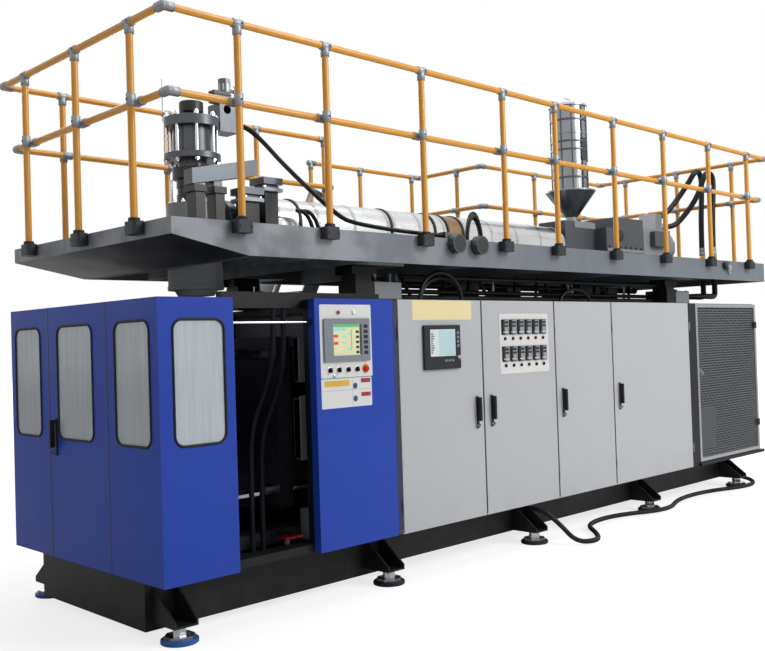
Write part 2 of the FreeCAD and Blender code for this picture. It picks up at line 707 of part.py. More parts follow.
def make_hydraulic_cabinet():
    """Sheet walls, roof, floor and corner post of the hydraulic compartment, and the dark post beside it."""
    x0, x1 = HYDRAULIC_LEFT, HYDRAULIC_RIGHT
    t = 40.0
    y0, y1 = PANEL_DEPTH + SEAL_GAP, CABIN_DEPTH
    z0, z1 = CABIN_BOTTOM + t, CABIN_TOP - SHEET
    post = box(x0, x0 + HYDRAULIC_POST, 0, PANEL_DEPTH, CABIN_BOTTOM - 5, CABIN_TOP)
    ledge = box(x0 + HYDRAULIC_POST - 20, x1 + 45, -20, y0, CABIN_BOTTOM - 5, CABIN_BOTTOM + 22)
    side_post = box(x0 + HYDRAULIC_POST - t, x0 + HYDRAULIC_POST, PANEL_DEPTH, y0,
                    CABIN_BOTTOM + 22, CABIN_TOP)
    sheets = [box(x0, x1, y0, y1, CABIN_BOTTOM, z0), box(x0, x1, y0, y1, z1, CABIN_TOP),
              box(x0, x0 + SHEET, y0, y1, z0, z1), box(x1 - SHEET, x1, y0, y1, z0, z1),
              box(x0 + SHEET, x1 - SHEET, y1 - SHEET, y1, z0, z1),
              box(x1 - t, x1 - SHEET, y0, y0 + t, z0, z1),
              box(x0 + BULKHEAD_START, bulkhead_face(), HOSE_ROWS[-1] - RAIL_HOSE_D,
                  HOSE_ROWS[0] + RAIL_HOSE_D, CABIN_TOP, CABIN_TOP + BULKHEAD_HEIGHT)]
    return group([fused((post, ledge, side_post))] + sheets)


def bulkhead_face():
    """X of the face on the roof bulkhead that the hoses under the deck end at."""
    return HYDRAULIC_LEFT + BULKHEAD_START + BULKHEAD_LENGTH


def mesh_door_span():
    """Left and right edge of the perforated door."""
    left = CABINET_RIGHT + SEAM / 2 + HYDRAULIC_POST + SEAM
    return left, HYDRAULIC_RIGHT - SEAM


def make_mesh_door():
    """Door with a bright edge frame round a perforated sheet."""
    left, right = mesh_door_span()
    low, high = CABIN_BOTTOM + 28, CABIN_TOP - 6
    frame = box(left, right, 0, PANEL_DEPTH, low, high)
    f = MESH_FRAME
    frame = frame.cut(box(left + f, right - f, 0, PANEL_DEPTH, low + f, high - f))
    sheet_y = 12.0
    sheet = box(left + f, right - f, sheet_y, sheet_y + SHEET, low + f, high - f)
    pitch_x = (right - left - 2 * f) / MESH_COLUMNS
    pitch_z = (high - low - 2 * f) / MESH_ROWS
    slots = []
    for column in range(MESH_COLUMNS):
        for row in range(MESH_ROWS):
            x = left + f + (column + 0.2) * pitch_x
            z = low + f + row * pitch_z + 30
            slots.append(box(x, x + 0.6 * pitch_x, sheet_y, sheet_y + SHEET, z, z + pitch_z - 60))
    return fused((frame, sheet.cut(Part.makeCompound(slots))))


def make_pump_unit():
    """Oil tank with the motor and pump of the hydraulic system on top."""
    x0 = CABINET_RIGHT + HYDRAULIC_POST + 90
    floor = CABIN_BOTTOM + 40
    tank = box(x0, HYDRAULIC_RIGHT - 120, 420, CABIN_DEPTH - 200, floor, floor + 420)
    axis = floor + 600
    motor = prism((x0 + 120, 720, axis), (x0 + 560, 720, axis), 300)
    bell = prism((x0 + 560, 720, axis), (x0 + 680, 720, axis), 220)
    pump = prism((x0 + 680, 720, axis), (x0 + 860, 720, axis), 150)
    saddle = box(x0 + 160, x0 + 520, 620, 820, floor + 420, axis - 100)
    return fused((tank, saddle, motor, bell, pump))


# ---- clamp unit ----
def tie_places():
    """Y and Z of the four tie bars."""
    y_low = MIDDLE_Y - PLATEN_WIDTH / 2 + TIE_INSET
    y_high = MIDDLE_Y + PLATEN_WIDTH / 2 - TIE_INSET
    z_low = PLATEN_BOTTOM + TIE_INSET
    z_high = PLATEN_BOTTOM + PLATEN_HEIGHT - TIE_INSET
    return [(y, z) for y in (y_low, y_high) for z in (z_low, z_high)]


def make_clamp_frame():
    """End plates and bed of the clamp, standing on the base."""
    y0 = MIDDLE_Y - PLATEN_WIDTH / 2
    y1 = MIDDLE_Y + PLATEN_WIDTH / 2
    top = PLATEN_BOTTOM + PLATEN_HEIGHT
    pieces = [box(CLAMP_FRONT_X, CLAMP_FRONT_X + CLAMP_END, y0, y1, CABIN_BOTTOM, top),
              box(CLAMP_REAR_X - CLAMP_END, CLAMP_REAR_X, y0, y1, CABIN_BOTTOM, top)]
    for y in (y0, y1 - 120):
        pieces.append(box(CLAMP_FRONT_X + CLAMP_END, CLAMP_REAR_X - CLAMP_END, y, y + 120,
                          CABIN_BOTTOM, CABIN_BOTTOM + BED_HEIGHT))
    return fused(pieces)


def cylinder_level():
    """Height of the clamp cylinder's axis."""
    return PLATEN_BOTTOM + PLATEN_HEIGHT / 2


def make_tie_bars():
    """Four tie bars between the end plates, each with its nuts outside."""
    bars = []
    for y, z in tie_places():
        bars.append(prism((CLAMP_FRONT_X + CLAMP_END, y, z), (CLAMP_REAR_X - CLAMP_END, y, z), TIE_BAR_D))
        for x, way in ((CLAMP_FRONT_X, -1), (CLAMP_REAR_X, 1)):
            bars.append(prism((x, y, z), (x + way * TIE_NUT, y, z), TIE_BAR_D * 1.45, 6))
    return group(bars)


def platen(inner_face, side):
    """Mould platen with stiffening ribs on its outer side; side is +1 for the right one."""
    outer = inner_face + side * PLATEN_THICK
    x0, x1 = sorted((inner_face, outer))
    y0 = MIDDLE_Y - PLATEN_WIDTH / 2
    y1 = MIDDLE_Y + PLATEN_WIDTH / 2
    z1 = PLATEN_BOTTOM + PLATEN_HEIGHT
    body = box(x0, x1, y0, y1, PLATEN_BOTTOM, z1)
    slab = PLATEN_THICK * 0.4
    r0, r1 = sorted((inner_face + side * slab, outer))
    pocket_w = (PLATEN_WIDTH - 4 * TIE_INSET) / 2
    for y in (y0 + 2 * TIE_INSET - 60, MIDDLE_Y + 60):
        for z in (PLATEN_BOTTOM + 2 * TIE_INSET - 60, cylinder_level() + 70):
            body = body.cut(box(r0, r1, y, y + pocket_w, z, z + (PLATEN_HEIGHT - 4 * TIE_INSET) / 2))
    holes = [prism((x0 - 1, y, z), (x1 + 1, y, z), TIE_BAR_D + 2 * BUSH_CLEARANCE)
             for y, z in tie_places()]
    return body.cut(Part.makeCompound(holes))


def make_platens():
    """Left platen, and the right one with the cylinder's rod on its back."""
    left = platen(HEAD_X - MOULD_OPENING / 2, -1)
    right = platen(HEAD_X + MOULD_OPENING / 2, 1)
    back = HEAD_X + MOULD_OPENING / 2 + PLATEN_THICK
    piston_rod = prism((back, MIDDLE_Y, cylinder_level()),
                     (CLAMP_REAR_X - CLAMP_END - 13, MIDDLE_Y, cylinder_level()), CYLINDER_ROD_D)
    return left, fused((right, piston_rod))


def make_clamp_cylinder():
    """Hydraulic cylinder on the rear plate, hollow for its rod."""
    z = cylinder_level()
    seat = CLAMP_REAR_X - CLAMP_END
    body = prism((seat - CYLINDER_LENGTH, MIDDLE_Y, z), (seat, MIDDLE_Y, z), CYLINDER_D)
    flange = box(seat - 30, seat, MIDDLE_Y - 0.7 * CYLINDER_D, MIDDLE_Y + 0.7 * CYLINDER_D,
                 z - 0.7 * CYLINDER_D, z + 0.7 * CYLINDER_D)
    bore = prism((seat - CYLINDER_LENGTH - 1, MIDDLE_Y, z), (seat - 12, MIDDLE_Y, z),
                 CYLINDER_ROD_D + 2 * BUSH_CLEARANCE)
    return fused((body, flange)).cut(bore)


# ---- deck, lift and guard rail ----
def make_deck():
    """Welded deck: top plate, fascia that tapers at the clamp end, cross beams, and the rear landing."""
    outline = [V(DECK_LEFT, DECK_FRONT, DECK_TOP), V(DECK_RIGHT, DECK_FRONT, DECK_TOP),
               V(DECK_RIGHT, DECK_FRONT, DECK_UNDER), V(DECK_LEFT + TIP_TAPER, DECK_FRONT, DECK_UNDER),
               V(DECK_LEFT, DECK_FRONT, DECK_TOP - TIP_FASCIA), V(DECK_LEFT, DECK_FRONT, DECK_TOP)]
    body = Part.Face(Part.makePolygon(outline)).extrude(V(0, DECK_BACK - DECK_FRONT, 0))
    ceiling = DECK_TOP - DECK_PLATE
    stations = deck_beams()
    for left, right in zip(stations, stations[1:]):
        body = body.cut(box(left + DECK_WALL, right, DECK_FRONT + DECK_WALL, DECK_BACK - DECK_WALL,
                            DECK_UNDER, ceiling))
    lands = []
    for x in LIFT_STATIONS:
        for y in lift_rows():
            lands.append(box(x - LIFT_POST, x + jack_offset() + LIFT_POST, y - LIFT_POST, y + LIFT_POST,
                             DECK_UNDER, ceiling))
    landing = box(LANDING_LEFT, LANDING_RIGHT, DECK_BACK, LANDING_BACK, DECK_TOP - LANDING_FASCIA, DECK_TOP)
    landing = landing.cut(box(LANDING_LEFT + DECK_WALL, LANDING_RIGHT - DECK_WALL, DECK_BACK,
                              LANDING_BACK - DECK_WALL, DECK_TOP - LANDING_FASCIA, ceiling))
    hole = prism((HEAD_X, MIDDLE_Y, DECK_UNDER), (HEAD_X, MIDDLE_Y, DECK_TOP), POT_D, TURNED_SIDES)
    return fused([body, landing] + lands).cut(hole)


def deck_beams():
    """Stations of the deck's cross beams; the first bay starts where the taper ends."""
    first = LIFT_STATIONS[0] - LIFT_POST - DECK_WALL
    last = LIFT_STATIONS[1] - LIFT_POST - DECK_WALL
    inner = [first + (last - first) * share / 4 for share in range(5)]
    around = [HEAD_X - POT_D / 2 - 40, HEAD_X + POT_D / 2 + 30]
    return [DECK_LEFT + TIP_TAPER] + around + inner + [last + 520, DECK_RIGHT - DECK_WALL]


def jack_offset():
    """Distance from a lift column to the screw beside it."""
    return LIFT_POST / 2 + SLEEVE_WALL + JACK_INSET


def lift_rows():
    """Y of the two rows of lift columns."""
    return (LIFT_INSET, CABIN_DEPTH - LIFT_INSET)


def make_lift():
    """Guide sleeves and screw-jack boxes on the cabinet roof, and the posts and screws under the deck."""
    fixed = []
    moving = []
    c = LIFT_CLEARANCE
    half = LIFT_POST / 2
    top = CABIN_TOP + SLEEVE_HEIGHT
    for x in LIFT_STATIONS:
        for y in lift_rows():
            outer = box(x - half - SLEEVE_WALL, x + half + SLEEVE_WALL, y - half - SLEEVE_WALL,
                        y + half + SLEEVE_WALL, CABIN_TOP, top)
            inner = box(x - half - c, x + half + c, y - half - c, y + half + c, CABIN_TOP, top)
            x0 = x + half + SLEEVE_WALL
            jack = box(x0, x0 + JACK_LENGTH, y - JACK_WIDTH / 2, y + JACK_WIDTH / 2, CABIN_TOP, top)
            at = x + jack_offset()
            bore = prism((at, y, CABIN_TOP + 4), (at, y, top), JACK_SCREW_D + 2 * c)
            fixed.append(fused((outer.cut(inner), jack)).cut(bore))
            moving.append(box(x - half, x + half, y - half, y + half, CABIN_TOP + c, DECK_UNDER))
            moving.append(prism((at, y, CABIN_TOP + 4 + c), (at, y, DECK_UNDER), JACK_SCREW_D))
    return group(fixed), group(moving)


def post_places():
    """Feet of the guard-rail posts: X, Y and the outward direction of the fascia there."""
    places = []
    x = DECK_LEFT + FIRST_POST
    for bay in (0.0,) + FRONT_BAYS:
        x += bay
        if x < DECK_RIGHT - SOCKET_WIDTH:
            places.append((x, DECK_FRONT, (0, -1)))
    x = DECK_LEFT + FIRST_POST - 53
    for bay in (0.0,) + BACK_BAYS + (BACK_GATE,):
        x += bay
        places.append((x, DECK_BACK, (0, 1)))
    for x in (LANDING_RIGHT + 950, DECK_RIGHT - 430):
        places.append((x, DECK_BACK, (0, 1)))
    for x in (LANDING_LEFT + LANDING_GATE, LANDING_LEFT + LANDING_GATE + 670, LANDING_RIGHT - 90):
        places.append((x, LANDING_BACK, (0, 1)))
    places.append((LANDING_RIGHT, DECK_BACK + 0.42 * LANDING_DEPTH, (1, 0)))
    places += [(DECK_LEFT, DECK_FRONT + y, (-1, 0)) for y in LEFT_POSTS]
    places += [(DECK_RIGHT, DECK_FRONT + y, (1, 0)) for y in RIGHT_POSTS]
    return places


def rail_lines():
    """Ends of each straight rail on the tubes' centre lines, and the direction towards the deck."""
    o = RAIL_OFFSET
    left, right = DECK_LEFT - o, DECK_RIGHT + o
    front, back = DECK_FRONT - o, DECK_BACK + o
    gate = DECK_LEFT + FIRST_POST - 53 + sum(BACK_BAYS) + BACK_GATE
    land_l, land_r = LANDING_LEFT + LANDING_GATE, LANDING_RIGHT + o
    land_b = LANDING_BACK + o
    return [((left, front), (right, front), (0, 1)), ((left, front), (left, back), (1, 0)),
            ((right, front), (right, back), (-1, 0)), ((left, back), (gate, back), (0, -1)),
            ((land_r, back), (right, back), (0, -1)), ((land_r, back), (land_r, land_b), (-1, 0)),
            ((land_l, land_b), (land_r, land_b), (0, -1))]


def make_guard_rail():
    """Posts and two rows of rails in round tube, with the fittings at their crossings and the sockets.

    The posts end in a socket under the top rail. The middle rail passes on the inner side of each post,
    across the web of a crossover fitting.
    """
    r = TUBE_D / 2
    half = CLAMP_SIZE / 2
    top = DECK_TOP + RAIL_HEIGHT
    middle = DECK_TOP + MID_RAIL_HEIGHT
    shift = TUBE_D + CROSS_GAP
    tubes = []
    fittings = []
    corners = {}
    for start, stop, inward in rail_lines():
        for end in (start, stop):
            corners[end] = corners.get(end, V(0, 0, 0)) + V(*inward, 0)
    for start, stop, inward in rail_lines():
        along = (V(*stop, 0) - V(*start, 0)).normalize()
        for z, aside in ((top, 0.0), (middle, shift)):
            first = V(*start, z) + corners[start] * aside + along * half
            last = V(*stop, z) + corners[stop] * aside - along * half
            tubes.append(prism(first, last, TUBE_D, TUBE_SIDES))
    for (x, y), inside in corners.items():
        fittings.append(box(x - half, x + half, y - half, y + half, top - half, top + half))
        elbow = V(x, y, middle) + inside * shift
        if inside.x and inside.y:
            fittings.append(box(elbow.x - half, elbow.x + half, elbow.y - half, elbow.y + half,
                                middle - half, middle + half))
    sockets = []
    for x, y, (nx, ny) in post_places():
        px, py = x + nx * RAIL_OFFSET, y + ny * RAIL_OFFSET
        wide, deep = SOCKET_WIDTH / 2, RAIL_OFFSET
        sx, sy = (wide, deep) if ny else (deep, wide)
        rim = DECK_TOP + SOCKET_RISE
        sockets.append(box(px - sx, px + sx, py - sy, py + sy, rim - SOCKET_HEIGHT, rim))
        under = top - half if (px, py) in corners else top - r
        tubes.append(prism((px, py, rim), (px, py, under - CUP_HEIGHT), TUBE_D, TUBE_SIDES))
        fittings.append(box(px - half, px + half, py - half, py + half, under - CUP_HEIGHT, under))
        mid = V(px, py, middle) - V(nx, ny, 0) * (shift / 2)
        wx, wy = (half, CROSS_GAP / 2) if ny else (CROSS_GAP / 2, half)
        fittings.append(box(mid.x - wx, mid.x + wx, mid.y - wy, mid.y + wy, middle - half, middle + half))
    return group(tubes), group(fittings), group(sockets)


def make_stair():
    """Steep access stair behind the machine: two stringers, treads and a handrail on each side."""
    rise = DECK_TOP - STAIR_CLEARANCE
    slope = math.tan(math.radians(STAIR_SLOPE))
    top_x = LANDING_LEFT - STAIR_CLEARANCE
    foot_x = top_x - rise / slope
    y0 = DECK_BACK + SOCKET_DEPTH + 2 * STAIR_CLEARANCE + TUBE_D
    y1 = y0 + STAIR_WIDTH
    slant = STRINGER / math.sin(math.radians(STAIR_SLOPE))
    pieces = []
    for y in (y0, y1 - OUTRIGGER):
        side = [V(foot_x - slant, y, 0), V(foot_x, y, 0), V(top_x, y, rise - STRINGER / slope),
                V(top_x, y, rise), V(top_x - slant, y, rise), V(foot_x - slant, y, 0)]
        side[2] = V(top_x, y, rise)
        pieces.append(Part.Face(Part.makePolygon(side[:3] + side[4:])).extrude(V(0, OUTRIGGER, 0)))
    step = rise / (STAIR_TREADS + 1)
    for index in range(1, STAIR_TREADS + 1):
        x = foot_x + index * step / slope
        pieces.append(box(x - TREAD_DEPTH, x, y0 + OUTRIGGER, y1 - OUTRIGGER, index * step - 30, index * step))
    frame = fused(pieces)
    rails = []
    reach = HANDRAIL_RISE / slope
    crest = DECK_TOP + HANDRAIL_TOP
    r = TUBE_D / 2
    for y in (y0 - r, y1 + r):
        toe, bend, end = foot_x - 0.6 * slant, top_x - 0.45 * reach, top_x - TUBE_D
        knee = (toe, y, 0.8 * HANDRAIL_RISE)
        path = [(toe, y, 0.12 * HANDRAIL_RISE), knee, (bend, y, crest - r), (end, y, crest - 3 * r),
                (end, y, rise - 3 * r)]
        pieces = [prism(a, b, TUBE_D, TUBE_SIDES) for a, b in zip(path, path[1:])]
        rails.append(fused(pieces))
    return group([frame] + rails)


# ---- extruder ----
def barrel_level():
    """Height of the barrel's axis."""
    return DECK_TOP + BARREL_AXIS


def barrel_span():
    """Start at the accumulator head and end in the feed housing."""
    return HEAD_X + HEAD_FLANGE_D / 2 + 20, GEARBOX_X


def make_barrel():
    """Bored barrel with its front flange, on saddles that stand on the deck."""
    start, stop = barrel_span()
    z = barrel_level()
    pipe = prism((start, MIDDLE_Y, z), (stop, MIDDLE_Y, z), BARREL_D)
    flange = prism((start, MIDDLE_Y, z), (start + 60, MIDDLE_Y, z), BARREL_D * 1.6)
    bore = prism((start + 120, MIDDLE_Y, z), (stop, MIDDLE_Y, z), SCREW_D + 2 * RUNNING_GAP)
    saddles = []
    for x in (start + 260, (start + stop) / 2 + 40, stop - 200):
        saddles.append(box(x, x + 40, MIDDLE_Y - 60, MIDDLE_Y + 60, DECK_TOP, z - BARREL_D / 2 + 14))
    return fused([pipe, flange] + saddles).cut(bore)


def make_screw():
    """Extruder screw: its root from the tip to the drive journal in the gearbox."""
    start, stop = barrel_span()
    z = barrel_level()
    tip = start + 150
    spread = math.cos(math.pi / BAR_SIDES)
    return prism((tip, MIDDLE_Y, z), (stop + SCREW_JOURNAL, MIDDLE_Y, z), SCREW_D * spread)


def make_barrel_covers():
    """Bright arched heater covers on the deck, one after another."""
    start, _ = barrel_span()
    covers = []
    x = start + COVER_START
    for length in COVER_LENGTHS:
        outer = cover_outline(x, COVER_RADIUS).extrude(V(length, 0, 0))
        covers.append(outer.cut(cover_outline(x, COVER_RADIUS - COVER_THICK).extrude(V(length, 0, 0))))
        x += length + COVER_GAP
    return group(covers)


def cover_outline(x, radius):
    """Arch of a barrel cover: straight skirts from the deck with a half-round top."""
    z = barrel_level()
    points = [V(x, MIDDLE_Y - radius, DECK_TOP)]
    for step in range(COVER_FLATS + 1):
        turn = math.pi * step / COVER_FLATS
        points.append(V(x, MIDDLE_Y - radius * math.cos(turn), z + radius * math.sin(turn)))
    points.append(V(x, MIDDLE_Y + radius, DECK_TOP))
    return Part.Face(Part.makePolygon(points + points[:1]))


def make_gearbox():
    """Gearbox: the sloped housing, and the feed block that takes the screw under the hopper."""
    x0 = GEARBOX_X
    x1 = x0 + GEARBOX_LENGTH
    y0, y1 = MIDDLE_Y - GEARBOX_WIDTH / 2, MIDDLE_Y + GEARBOX_WIDTH / 2
    z = barrel_level()
    top = DECK_TOP + GEARBOX_HEIGHT
    feed = box(x0, x0 + FEED_LENGTH, MIDDLE_Y - FEED_WIDTH / 2, MIDDLE_Y + FEED_WIDTH / 2,
               DECK_TOP, top - FEED_DROP)
    shoulder = x0 + FEED_LENGTH + 120
    profile = [V(x0 + FEED_LENGTH, y0, DECK_TOP), V(x0 + FEED_LENGTH, y0, top - 110),
               V(shoulder, y0, top - 110), V(shoulder + 60, y0, top), V(x1, y0, top),
               V(x1, y0, DECK_TOP), V(x0 + FEED_LENGTH, y0, DECK_TOP)]
    housing = Part.Face(Part.makePolygon(profile)).extrude(V(0, y1 - y0, 0))
    bore = prism((x0, MIDDLE_Y, z), (x0 + SCREW_JOURNAL + RUNNING_GAP, MIDDLE_Y, z), SCREW_D + 2 * RUNNING_GAP)
    return fused((feed, housing)).cut(bore)


def make_motor():
    """Main motor with its feet, end bell, fan cowl and terminal box."""
    x0 = GEARBOX_X + GEARBOX_LENGTH
    x1 = x0 + MOTOR_LENGTH
    y, r = MIDDLE_Y, MOTOR_D / 2
    z = DECK_TOP + r + 30
    body = prism((x0 + 60, y, z), (x1 - 110, y, z), MOTOR_D, TURNED_SIDES)
    nose = prism((x0, y, z), (x0 + 60, y, z), MOTOR_D * 0.7)
    cowl = prism((x1 - 110, y, z), (x1, y, z), MOTOR_D * 0.92, TURNED_SIDES)
    feet = box(x0 + 130, x1 - 180, y - 0.85 * r, y + 0.85 * r, DECK_TOP, z - 0.6 * r)
    terminal = box(x0 + 250, x0 + 510, y - r - 70, y - 60, z - 20, z + 130)
    start = x0 + MANIFOLD_START
    manifold = box(start, start + MANIFOLD_LENGTH, y - 0.75 * MANIFOLD_WIDTH, y + 0.25 * MANIFOLD_WIDTH,
                   z + 0.6 * r, z + r + MANIFOLD_HEIGHT)
    ports = [prism(port - way * PORT_LENGTH, port, RAIL_HOSE_D, 8) for port, way in manifold_ports()]
    return fused([body, nose, cowl, feet, terminal, manifold] + ports)


def hopper_levels():
    """Heights of the hopper neck, cone top, body top and loader top."""
    neck = DECK_TOP + GEARBOX_HEIGHT - FEED_DROP
    cone = neck + 60 + CONE_HEIGHT
    body = cone + 175
    loader = body + 660
    return neck, cone, body, loader


def make_hopper():
    """Stainless hopper: a cone on its neck and the vacuum loader's body on top, open at the mouth."""
    neck, cone, body, loader = hopper_levels()
    wall = HOPPER_WALL
    throat, wide, slim = HOPPER_THROAT / 2, CONE_TOP_D / 2, LOADER_D / 2
    shoulder = cone - neck
    top = loader - neck
    inner = [(throat, 0), (throat, 60), (wide - wall, shoulder), (slim - wall, shoulder + wall), (slim - wall, top)]
    outer = [(slim + 22, top), (slim + 22, top - 14), (slim, top - 14), (slim, shoulder + 2 * wall),
             (wide, shoulder + 2 * wall), (wide, shoulder), (throat + wall, 60), (throat + wall, 12),
             (throat + 30, 12), (throat + 30, 0)]
    return turned(inner + outer, (HOPPER_X, MIDDLE_Y, neck))


def make_loader_lid():
    """Lid of the loader, stepped in towards its handle block."""
    loader = hopper_levels()[3] + RUNNING_GAP
    r = LOADER_D / 2 + 20
    lid = prism((HOPPER_X, MIDDLE_Y, loader), (HOPPER_X, MIDDLE_Y, loader + 18), 2 * r, TURNED_SIDES)
    crown = prism((HOPPER_X, MIDDLE_Y, loader + 18), (HOPPER_X, MIDDLE_Y, loader + 50), 1.4 * r)
    grip = box(HOPPER_X - 60, HOPPER_X + 60, MIDDLE_Y - 12, MIDDLE_Y + 12, loader + 50, loader + 96)
    return fused((lid, crown, grip))


# ---- accumulator head ----
def make_die_head():
    """Accumulator pot through the deck with its lower die flange and the neck above."""
    drop = DECK_UNDER - POT_DROP
    r = POT_D / 2
    b = CORE_ROD_D / 2 + RUNNING_GAP + 2
    seat = head_base() - drop
    profile = ((b, -40), (r - 52, -40), (r - 52, 0), (r + 4, 0), (r + 4, 30), (r - RUNNING_GAP, 30),
               (r - RUNNING_GAP, seat - 240), (r - 70, seat - 240), (r - 70, seat - 30), (r - 45, seat - 30),
               (r - 45, seat), (b, seat))
    return turned(profile, (HEAD_X, MIDDLE_Y, drop))


def head_base():
    """Height of the seat under the parison cylinder."""
    return DECK_TOP + 480.0


def make_head_cylinder():
    """Parison cylinder between two flanges, held by a ring of tie rods, with its cap."""
    z = head_base()
    b = CORE_ROD_D / 2 + RUNNING_GAP + 2
    rc, rf = HEAD_CYLINDER_D / 2, HEAD_FLANGE_D / 2
    profile = ((b, 0), (90, 0), (90, 50), (rf, 50), (rf, 90), (rc - 25, 90), (rc - 25, 265), (rf - 5, 265),
               (rf - 5, 330), (78, 330), (78, HEAD_CYLINDER_RISE), (b, HEAD_CYLINDER_RISE))
    rods = []
    for index in range(TIE_RODS):
        angle = 2 * math.pi * (index + 0.5) / TIE_RODS
        x = HEAD_X + (rf - 20) * math.cos(angle)
        y = MIDDLE_Y + (rf - 20) * math.sin(angle)
        rods.append(prism((x, y, z + 90), (x, y, z + 265), TIE_ROD_D, 6))
    return group([turned(profile, (HEAD_X, MIDDLE_Y, z))] + rods)


def make_head_rod():
    """Core rod down the middle of the head that opens the die gap."""
    low = DECK_UNDER - POT_DROP - 34
    top = head_base() + HEAD_CYLINDER_RISE - HEAD_STROKE
    return prism((HEAD_X, MIDDLE_Y, low), (HEAD_X, MIDDLE_Y, top), CORE_ROD_D)


def make_head_support():
    """Beam arm on two dark legs beside the head, with the black guide blocks behind it."""
    z = DECK_TOP + 330
    arm = Part.Face(Part.makePolygon([V(440, 300, z - 70), V(HEAD_X + 60, 300, z + 20),
                                      V(HEAD_X + 60, 300, z + 120), V(440, 300, z + 20),
                                      V(440, 300, z - 70)])).extrude(V(0, 90, 0))
    legs = [box(x, x + 60, 315, 375, DECK_TOP, z - 60 + (x - 440) * 0.19) for x in (460, 600)]
    blocks = []
    for x, top in ((1080, 300), (1240, 380)):
        blocks.append(box(x, x + 110, MIDDLE_Y - 260, MIDDLE_Y - 150, DECK_TOP, DECK_TOP + top))
        blocks.append(box(x - 25, x + 135, MIDDLE_Y - 285, MIDDLE_Y - 125, DECK_TOP + top, DECK_TOP + top + 45))
    blocks.append(box(GLAND_X, GLAND_X + 60, -52, GLAND_WIDTH - 52, DECK_TOP, DECK_TOP + 2 * CABLE_D))
    for at in (GLAND_X + 75, GLAND_X + 320):
        middle = DECK_TOP - 0.3 * CONNECTOR_D
        blocks.append(prism((at, DECK_FRONT, middle), (at, DECK_FRONT - 60, middle), CONNECTOR_D))
    return group([fused([arm] + legs)] + blocks)


def make_servo_valve():
    """Servo valve block beside the cylinder's top flange, with its coil housing and connector."""
    x = HEAD_X + HEAD_FLANGE_D / 2 - 5
    z = head_base() + 265
    block = box(x, x + 150, MIDDLE_Y - 70, MIDDLE_Y + 70, z, z + 190)
    coil = box(x - 40, x + 90, MIDDLE_Y - 68, MIDDLE_Y - 2, z + 190, z + 270)
    plug = prism((x + 105, MIDDLE_Y + 20, z + 190), (x + 105, MIDDLE_Y + 20, z + 380), 80, 8)
    return fused((block, coil, plug))


# ---- hoses and cables ----


def make_floor_conduit():
    """Corrugated conduit from the base beam to the base's end plate, lying on the floor."""
    z = FLOOR_LIE
    route = ((3500, BEAM_SET_BACK, 240), (3500, 130, 240), (3465, -50, 150), (3475, -190, z),
             (3640, -280, z), (3850, -130, z), (4110, 150, z), (4600, 190, z), (5120, -65, z),
             (5640, 150, z), (6200, 160, z), (6780, -50, z), (7160, 90, z), (7340, 420, z + 12),
             (7230, 765, 120), (BASE_END, 765, 120))
    return cord("floor_conduit", route, CONDUIT_D)


def make_rail_hoses():
    """Thick hydraulic hoses: up from the motor's manifold, in a tight bend inside the end rail and down
    to fittings on the deck; below it, elbows and a second length to the cabinet's roof.
    """
    x = DECK_RIGHT - HOSE_INSET
    upper = (((6925, 750, 3030), (7030, 650, 3225), (7056, 592, 3336), (7126, 585, 3372), (7190, 578, 3334)),
             ((6910, 680, 2830), (7010, 540, 3060), (7054, 460, 3303), (7124, 450, 3341), (7188, 442, 3303)))
    seat = DECK_TOP + HOSE_FITTING_HEIGHT
    level = DECK_UNDER - HOSE_ELBOW_DROP
    pieces = []
    for y, (port, way), bends in zip(HOSE_ROWS, manifold_ports(), upper):
        route = (tuple(port), tuple(port + way * 128)) + bends
        route += ((x + 62, y + 6, 3170), (x, y, 2800), (x, y, seat))
        pieces.append(cord("rail hose", route, RAIL_HOSE_D))
        pieces.append(prism((x, y, DECK_TOP), (x, y, seat), RAIL_HOSE_D * 1.1, 6))
        elbow = ((x, y, DECK_TOP - DECK_PLATE), (x, y, level), (x - HOSE_ELBOW_REACH, y, level))
        pieces.append(bent_pipe(elbow, RAIL_HOSE_D, 6)[0])
        lower = ((x - HOSE_ELBOW_REACH, y, level), (6740, y, level), (6400, y + 12, level - 17),
                 (bulkhead_face(), y + 12, level - 17))
        pieces.append(cord("lower hose", lower, RAIL_HOSE_D))
    return pieces


def manifold_ports():
    """Ends of the two ports on the motor's manifold, each with the direction that its hose leaves in."""
    face = GEARBOX_X + GEARBOX_LENGTH + MANIFOLD_START + MANIFOLD_LENGTH
    top = DECK_TOP + MOTOR_D + 30 + MANIFOLD_HEIGHT
    return ((V(face + 40, MIDDLE_Y - 35, top - 40), V(90, -80, 50).normalize()),
            (V(face + 30, MIDDLE_Y - 130, top - 133), V(110, -50, 4).normalize()))


def make_head_cables():
    """Two control cables from the servo valve down to the deck's front edge, and along it to a gland."""
    x = HEAD_X + HEAD_FLANGE_D / 2 + 145
    z = head_base() + 340
    rest = DECK_TOP + CABLE_D
    cables = []
    for shift in (0.0, 30.0):
        y = MIDDLE_Y - 30 + shift
        aside = x + shift / 2
        route = ((x, y, z), (x + 95, y, z), (aside + 175, y - 80, z - 110),
                 (aside + 205, 620 + shift, z - 300), (aside + 280, 180 + shift, z - 690),
                 (aside + 350, 90 + shift, rest + 50),
                 (x + 770, -34 + shift, rest), (GLAND_X, -34 + shift, rest))
        cables.append(cord("head cable", route, CABLE_D))
    return cables


